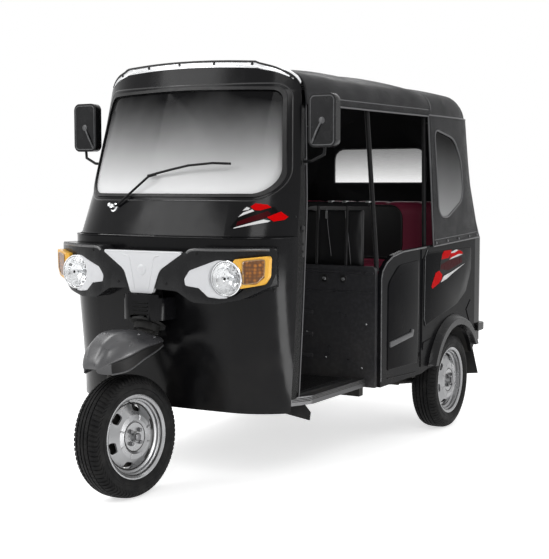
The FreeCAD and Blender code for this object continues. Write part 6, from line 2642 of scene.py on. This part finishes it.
@dataclass
class Mirrors:
    """Raised borders on the mirror shells in lighter paint as a painted highlight, and the glass on their
    rear faces.
    """

    x: float = 0.611
    y: float = 0.531
    z: float = 1.502
    half_width: float = 0.063
    half_height: float = 0.108

    def outline(self, inset: float, y: float) -> list[Vector]:
        """A rounded rectangle inside the shell's edge.

        Args:
            inset: how far it is inside the shell's edge.
            y: the place along the vehicle.

        Returns:
            The outline's points.
        """
        w, h = self.half_width - inset, self.half_height - inset
        corners = ((-w, -h), (w, -h), (w, h), (-w, h))
        return rounded_outline([(at(self.x + x, y, self.z + z), 0.022 - inset * 0.4) for x, z in corners], 6)

    def build(self) -> None:
        """Builds both mirrors' trim."""
        border = tube(self.outline(0.010, self.y - 0.0195), 0.0026, closed=True)
        boss = turned_profile([(0.0, 0.014), (0.003, 0.0135), (0.005, 0.009), (0.005, 0.0)], 20)
        socket = moved(boss, facing(at(self.x, self.y - 0.0195, self.z), AHEAD))
        level = self.y - 0.0215
        stalk = tube([at(self.x, level, self.z), at(self.x - 0.024, level - 0.004, self.z - 0.045),
                      at(self.x - 0.046, level, self.z - 0.090)], 0.0038)
        # Borders, socket and stalk wear the lighter paint as a painted highlight.
        finish_pair(join_meshes([border, socket, stalk]),
                    Dressing("mirror_borders", HIGHLIGHT_EDGE_PAINT, slot="mask_plastic"))
        glass = plate(self.outline(0.009, self.y + 0.0195), Vector((0, 0.0014, 0)), 0.0006)
        finish_pair(glass, Dressing("mirror_glasses", CHROME, slot="glass"))
        rim = tube(self.outline(0.008, self.y + 0.0202), 0.0020, closed=True)
        finish_pair(rim, Dressing("mirror_rims", SEAL_RUBBER, slot="rubber"))


# ---------------------------------------------------------------- rear


@dataclass
class Rear:
    """The tail: a blank number plate, lid fittings, lamp lenses and frames, bumper bolts and seams."""

    face: float = 2.345
    lid_face: float = 2.359
    lamp_face: float = 2.369
    bumper_face: float = 2.372
    lamp_edges: tuple[float, float] = (0.466, 0.536)

    def build(self) -> None:
        """Builds the tail's details."""
        self.build_plate()
        self.build_lid()
        self.build_lamps()
        self.build_bumper()

    def panel(self, shape: Sequence[tuple[float, float]], radius: float, y: float, height: float,
              rim: float) -> bmesh.types.BMesh:
        """A raised panel on the tail.

        Args:
            shape: its corners as distance across and height.
            radius: its corners' radius.
            y: the place of the face under it.
            height: how far it stands off.
            rim: how far its edge is rounded.

        Returns:
            The panel's bmesh.
        """
        outline = rounded_outline([(at(x, y - 0.001, z), radius) for x, z in shape], 6)
        return plate(outline, Vector((0, height + 0.001, 0)), rim)

    def build_plate(self) -> None:
        """Builds the blank number plate and its screws."""
        low, high = 0.826, 0.942
        shape = ((-0.17, low), (0.17, low), (0.17, high), (-0.17, high))
        finish_mesh(self.panel(shape, 0.012, self.face, 0.004, 0.001),
                    Dressing("blank_number_plate", STRIPE_WHITE, slot="silver_plastic"))
        screws = [screw_head(at(x, self.face + 0.004, 0.884), BACK, 0.006) for x in (-0.075, 0.075)]
        finish_mesh(join_meshes(screws), Dressing("plate_screws", CHROME, slot="bright_strip"))

    def build_lid(self) -> None:
        """Presses louvres into the engine lid, and fits its handle and lock."""
        inner = ((-0.385, 0.560), (0.385, 0.560), (0.385, 0.780), (-0.385, 0.780))
        parts = [self.panel(inner, 0.04, self.lid_face, 0.004, 0.003)]
        for side in (-1, 1):
            for k in range(7):
                blade = rounded_block((0.200, 0.010, 0.011), 0.004, 2)
                lean = Matrix.Rotation(math.radians(-24), 4, "X")
                place = at(side * 0.235, self.lid_face + 0.004, 0.588 + 0.026 * k)
                parts.append(moved(blade, Matrix.Translation(place) @ lean))
        finish_mesh(join_meshes(parts), Dressing("lid_louvres", BLACK_PAINT, Body.LID))
        handle = tube([at(-0.045, self.lid_face, 0.598), at(-0.045, self.lid_face + 0.012, 0.598),
                       at(0.045, self.lid_face + 0.012, 0.598), at(0.045, self.lid_face, 0.598)], 0.005)
        lock = moved(turned_profile([(0.0, 0.013), (0.008, 0.0125), (0.010, 0.009), (0.010, 0.0)], 20),
                     facing(at(0.0, self.lid_face + 0.003, 0.645), BACK))
        finish_mesh(join_meshes([handle, lock]), Dressing("lid_handle", BRUSHED, Body.LID, "aluminium"))

    def build_lamps(self) -> None:
        """Divides the tail lamps into their lenses and frames them."""
        low, high = self.lamp_edges
        frames = []
        for z in (0.712, 0.784):
            bar = rounded_block((high - low, 0.004, 0.005), 0.0015, 1)
            frames.append(moved(bar, Matrix.Translation(at((low + high) / 2, self.lamp_face, z))))
        corners = ((low, 0.640), (high, 0.640), (high, 0.860), (low, 0.860))
        outline = rounded_outline([(at(x, self.lamp_face - 0.003, z), 0.010) for x, z in corners], 5)
        frames.append(tube(outline, 0.0030, closed=True))
        finish_pair(join_meshes(frames), Dressing("tail_lamp_frames", MASK_PLASTIC, slot="mask_plastic"))
        amber, clear = self.lens(0.790, 0.852), self.lens(0.648, 0.706)
        finish_pair(amber, Dressing("tail_amber_lenses", AMBER_LENS, slot="amber_lens"))
        finish_pair(clear, Dressing("tail_clear_lenses", WHITE_LENS, slot="lamp_lens"))

    def lens(self, bottom: float, top: float) -> bmesh.types.BMesh:
        """A shallow domed lens with flutes, between two heights.

        Args:
            bottom: the lower height.
            top: the upper height.

        Returns:
            The lens's bmesh.
        """
        low, high, y = self.lamp_edges[0] + 0.006, self.lamp_edges[1] - 0.006, self.lamp_face
        corners = ((low, bottom), (high, bottom), (high, top), (low, top))
        parts = [self.panel(corners, 0.006, y, 0.003, 0.002)]
        for x in spread(low + 0.006, high - 0.006, 6):
            parts.append(tube([at(x, y + 0.003, bottom + 0.006), at(x, y + 0.003, top - 0.006)], 0.002))
        return join_meshes(parts)

    def build_bumper(self) -> None:
        """Bolts the bumper, and seams the rear panel above it."""
        bolts = [screw_head(at(x, self.bumper_face, 0.485), BACK, 0.009) for x in (0.30, 0.52)]
        finish_pair(join_meshes(bolts), Dressing("bumper_bolts", CHROME, slot="bright_strip"))
        seams = [tube([at(-0.40, self.face, 0.818), at(0.40, self.face, 0.818)], 0.003),
                 tube([at(-0.56, self.face, 0.515), at(0.56, self.face, 0.515)], 0.003)]
        finish_mesh(join_meshes(seams), Dressing("tail_seams", BLACK_PAINT))


@dataclass
class Sills:
    """Ribbed tread strips on both door sills."""

    outside: float = 0.6
    middle: float = 0.558
    top: float = 0.372
    drops: tuple[float, ...] = (0.004, 0.010, 0.016)

    def build(self) -> None:
        """Runs fine ribs along the trims' outer faces."""
        skin = Skin("sill_trims")
        ribs = []
        low, high = node_box("sill_trims")
        for drop in self.drops:
            points = []
            for y in spread(low.y + 0.004, high.y - 0.004, 36):
                side = skin.hit(Vector((self.outside, y, self.top_at(skin, y) - drop)), -LEFT)
                if side:
                    points.append(side[0])
            if len(points) > 2:
                ribs.append(tube(points, 0.0016))
        finish_pair(join_meshes(ribs), Dressing("sill_ribs", FRAME_PAINT, slot="aluminium"))

    def top_at(self, skin: Skin, y: float) -> float:
        """The trim's top at a place along the vehicle."""
        found = skin.hit(Vector((self.middle, y, 0.36)), DOWN)
        return found[0].z if found else self.top


# ---------------------------------------------------------------- the whole scene


def main() -> None:
    """Builds every sub-assembly in order."""
    logging.basicConfig(level=logging.INFO, format="%(name)s: %(message)s")
    Studio().build()
    CarriedNodes().dress()
    Hood().build()
    Seats().build()
    for assembly in (
        Headlamps(), Indicators(), Fascia(), ScreenTrim(), CowlTrim(), Mudguard(), BodySides(), BeltTrim(),
        Cab(), Controls(), Mirrors(), Rear(), Sills(), *WHEELS,
    ):
        assembly.build()


if __name__ == "__main__":
    main()
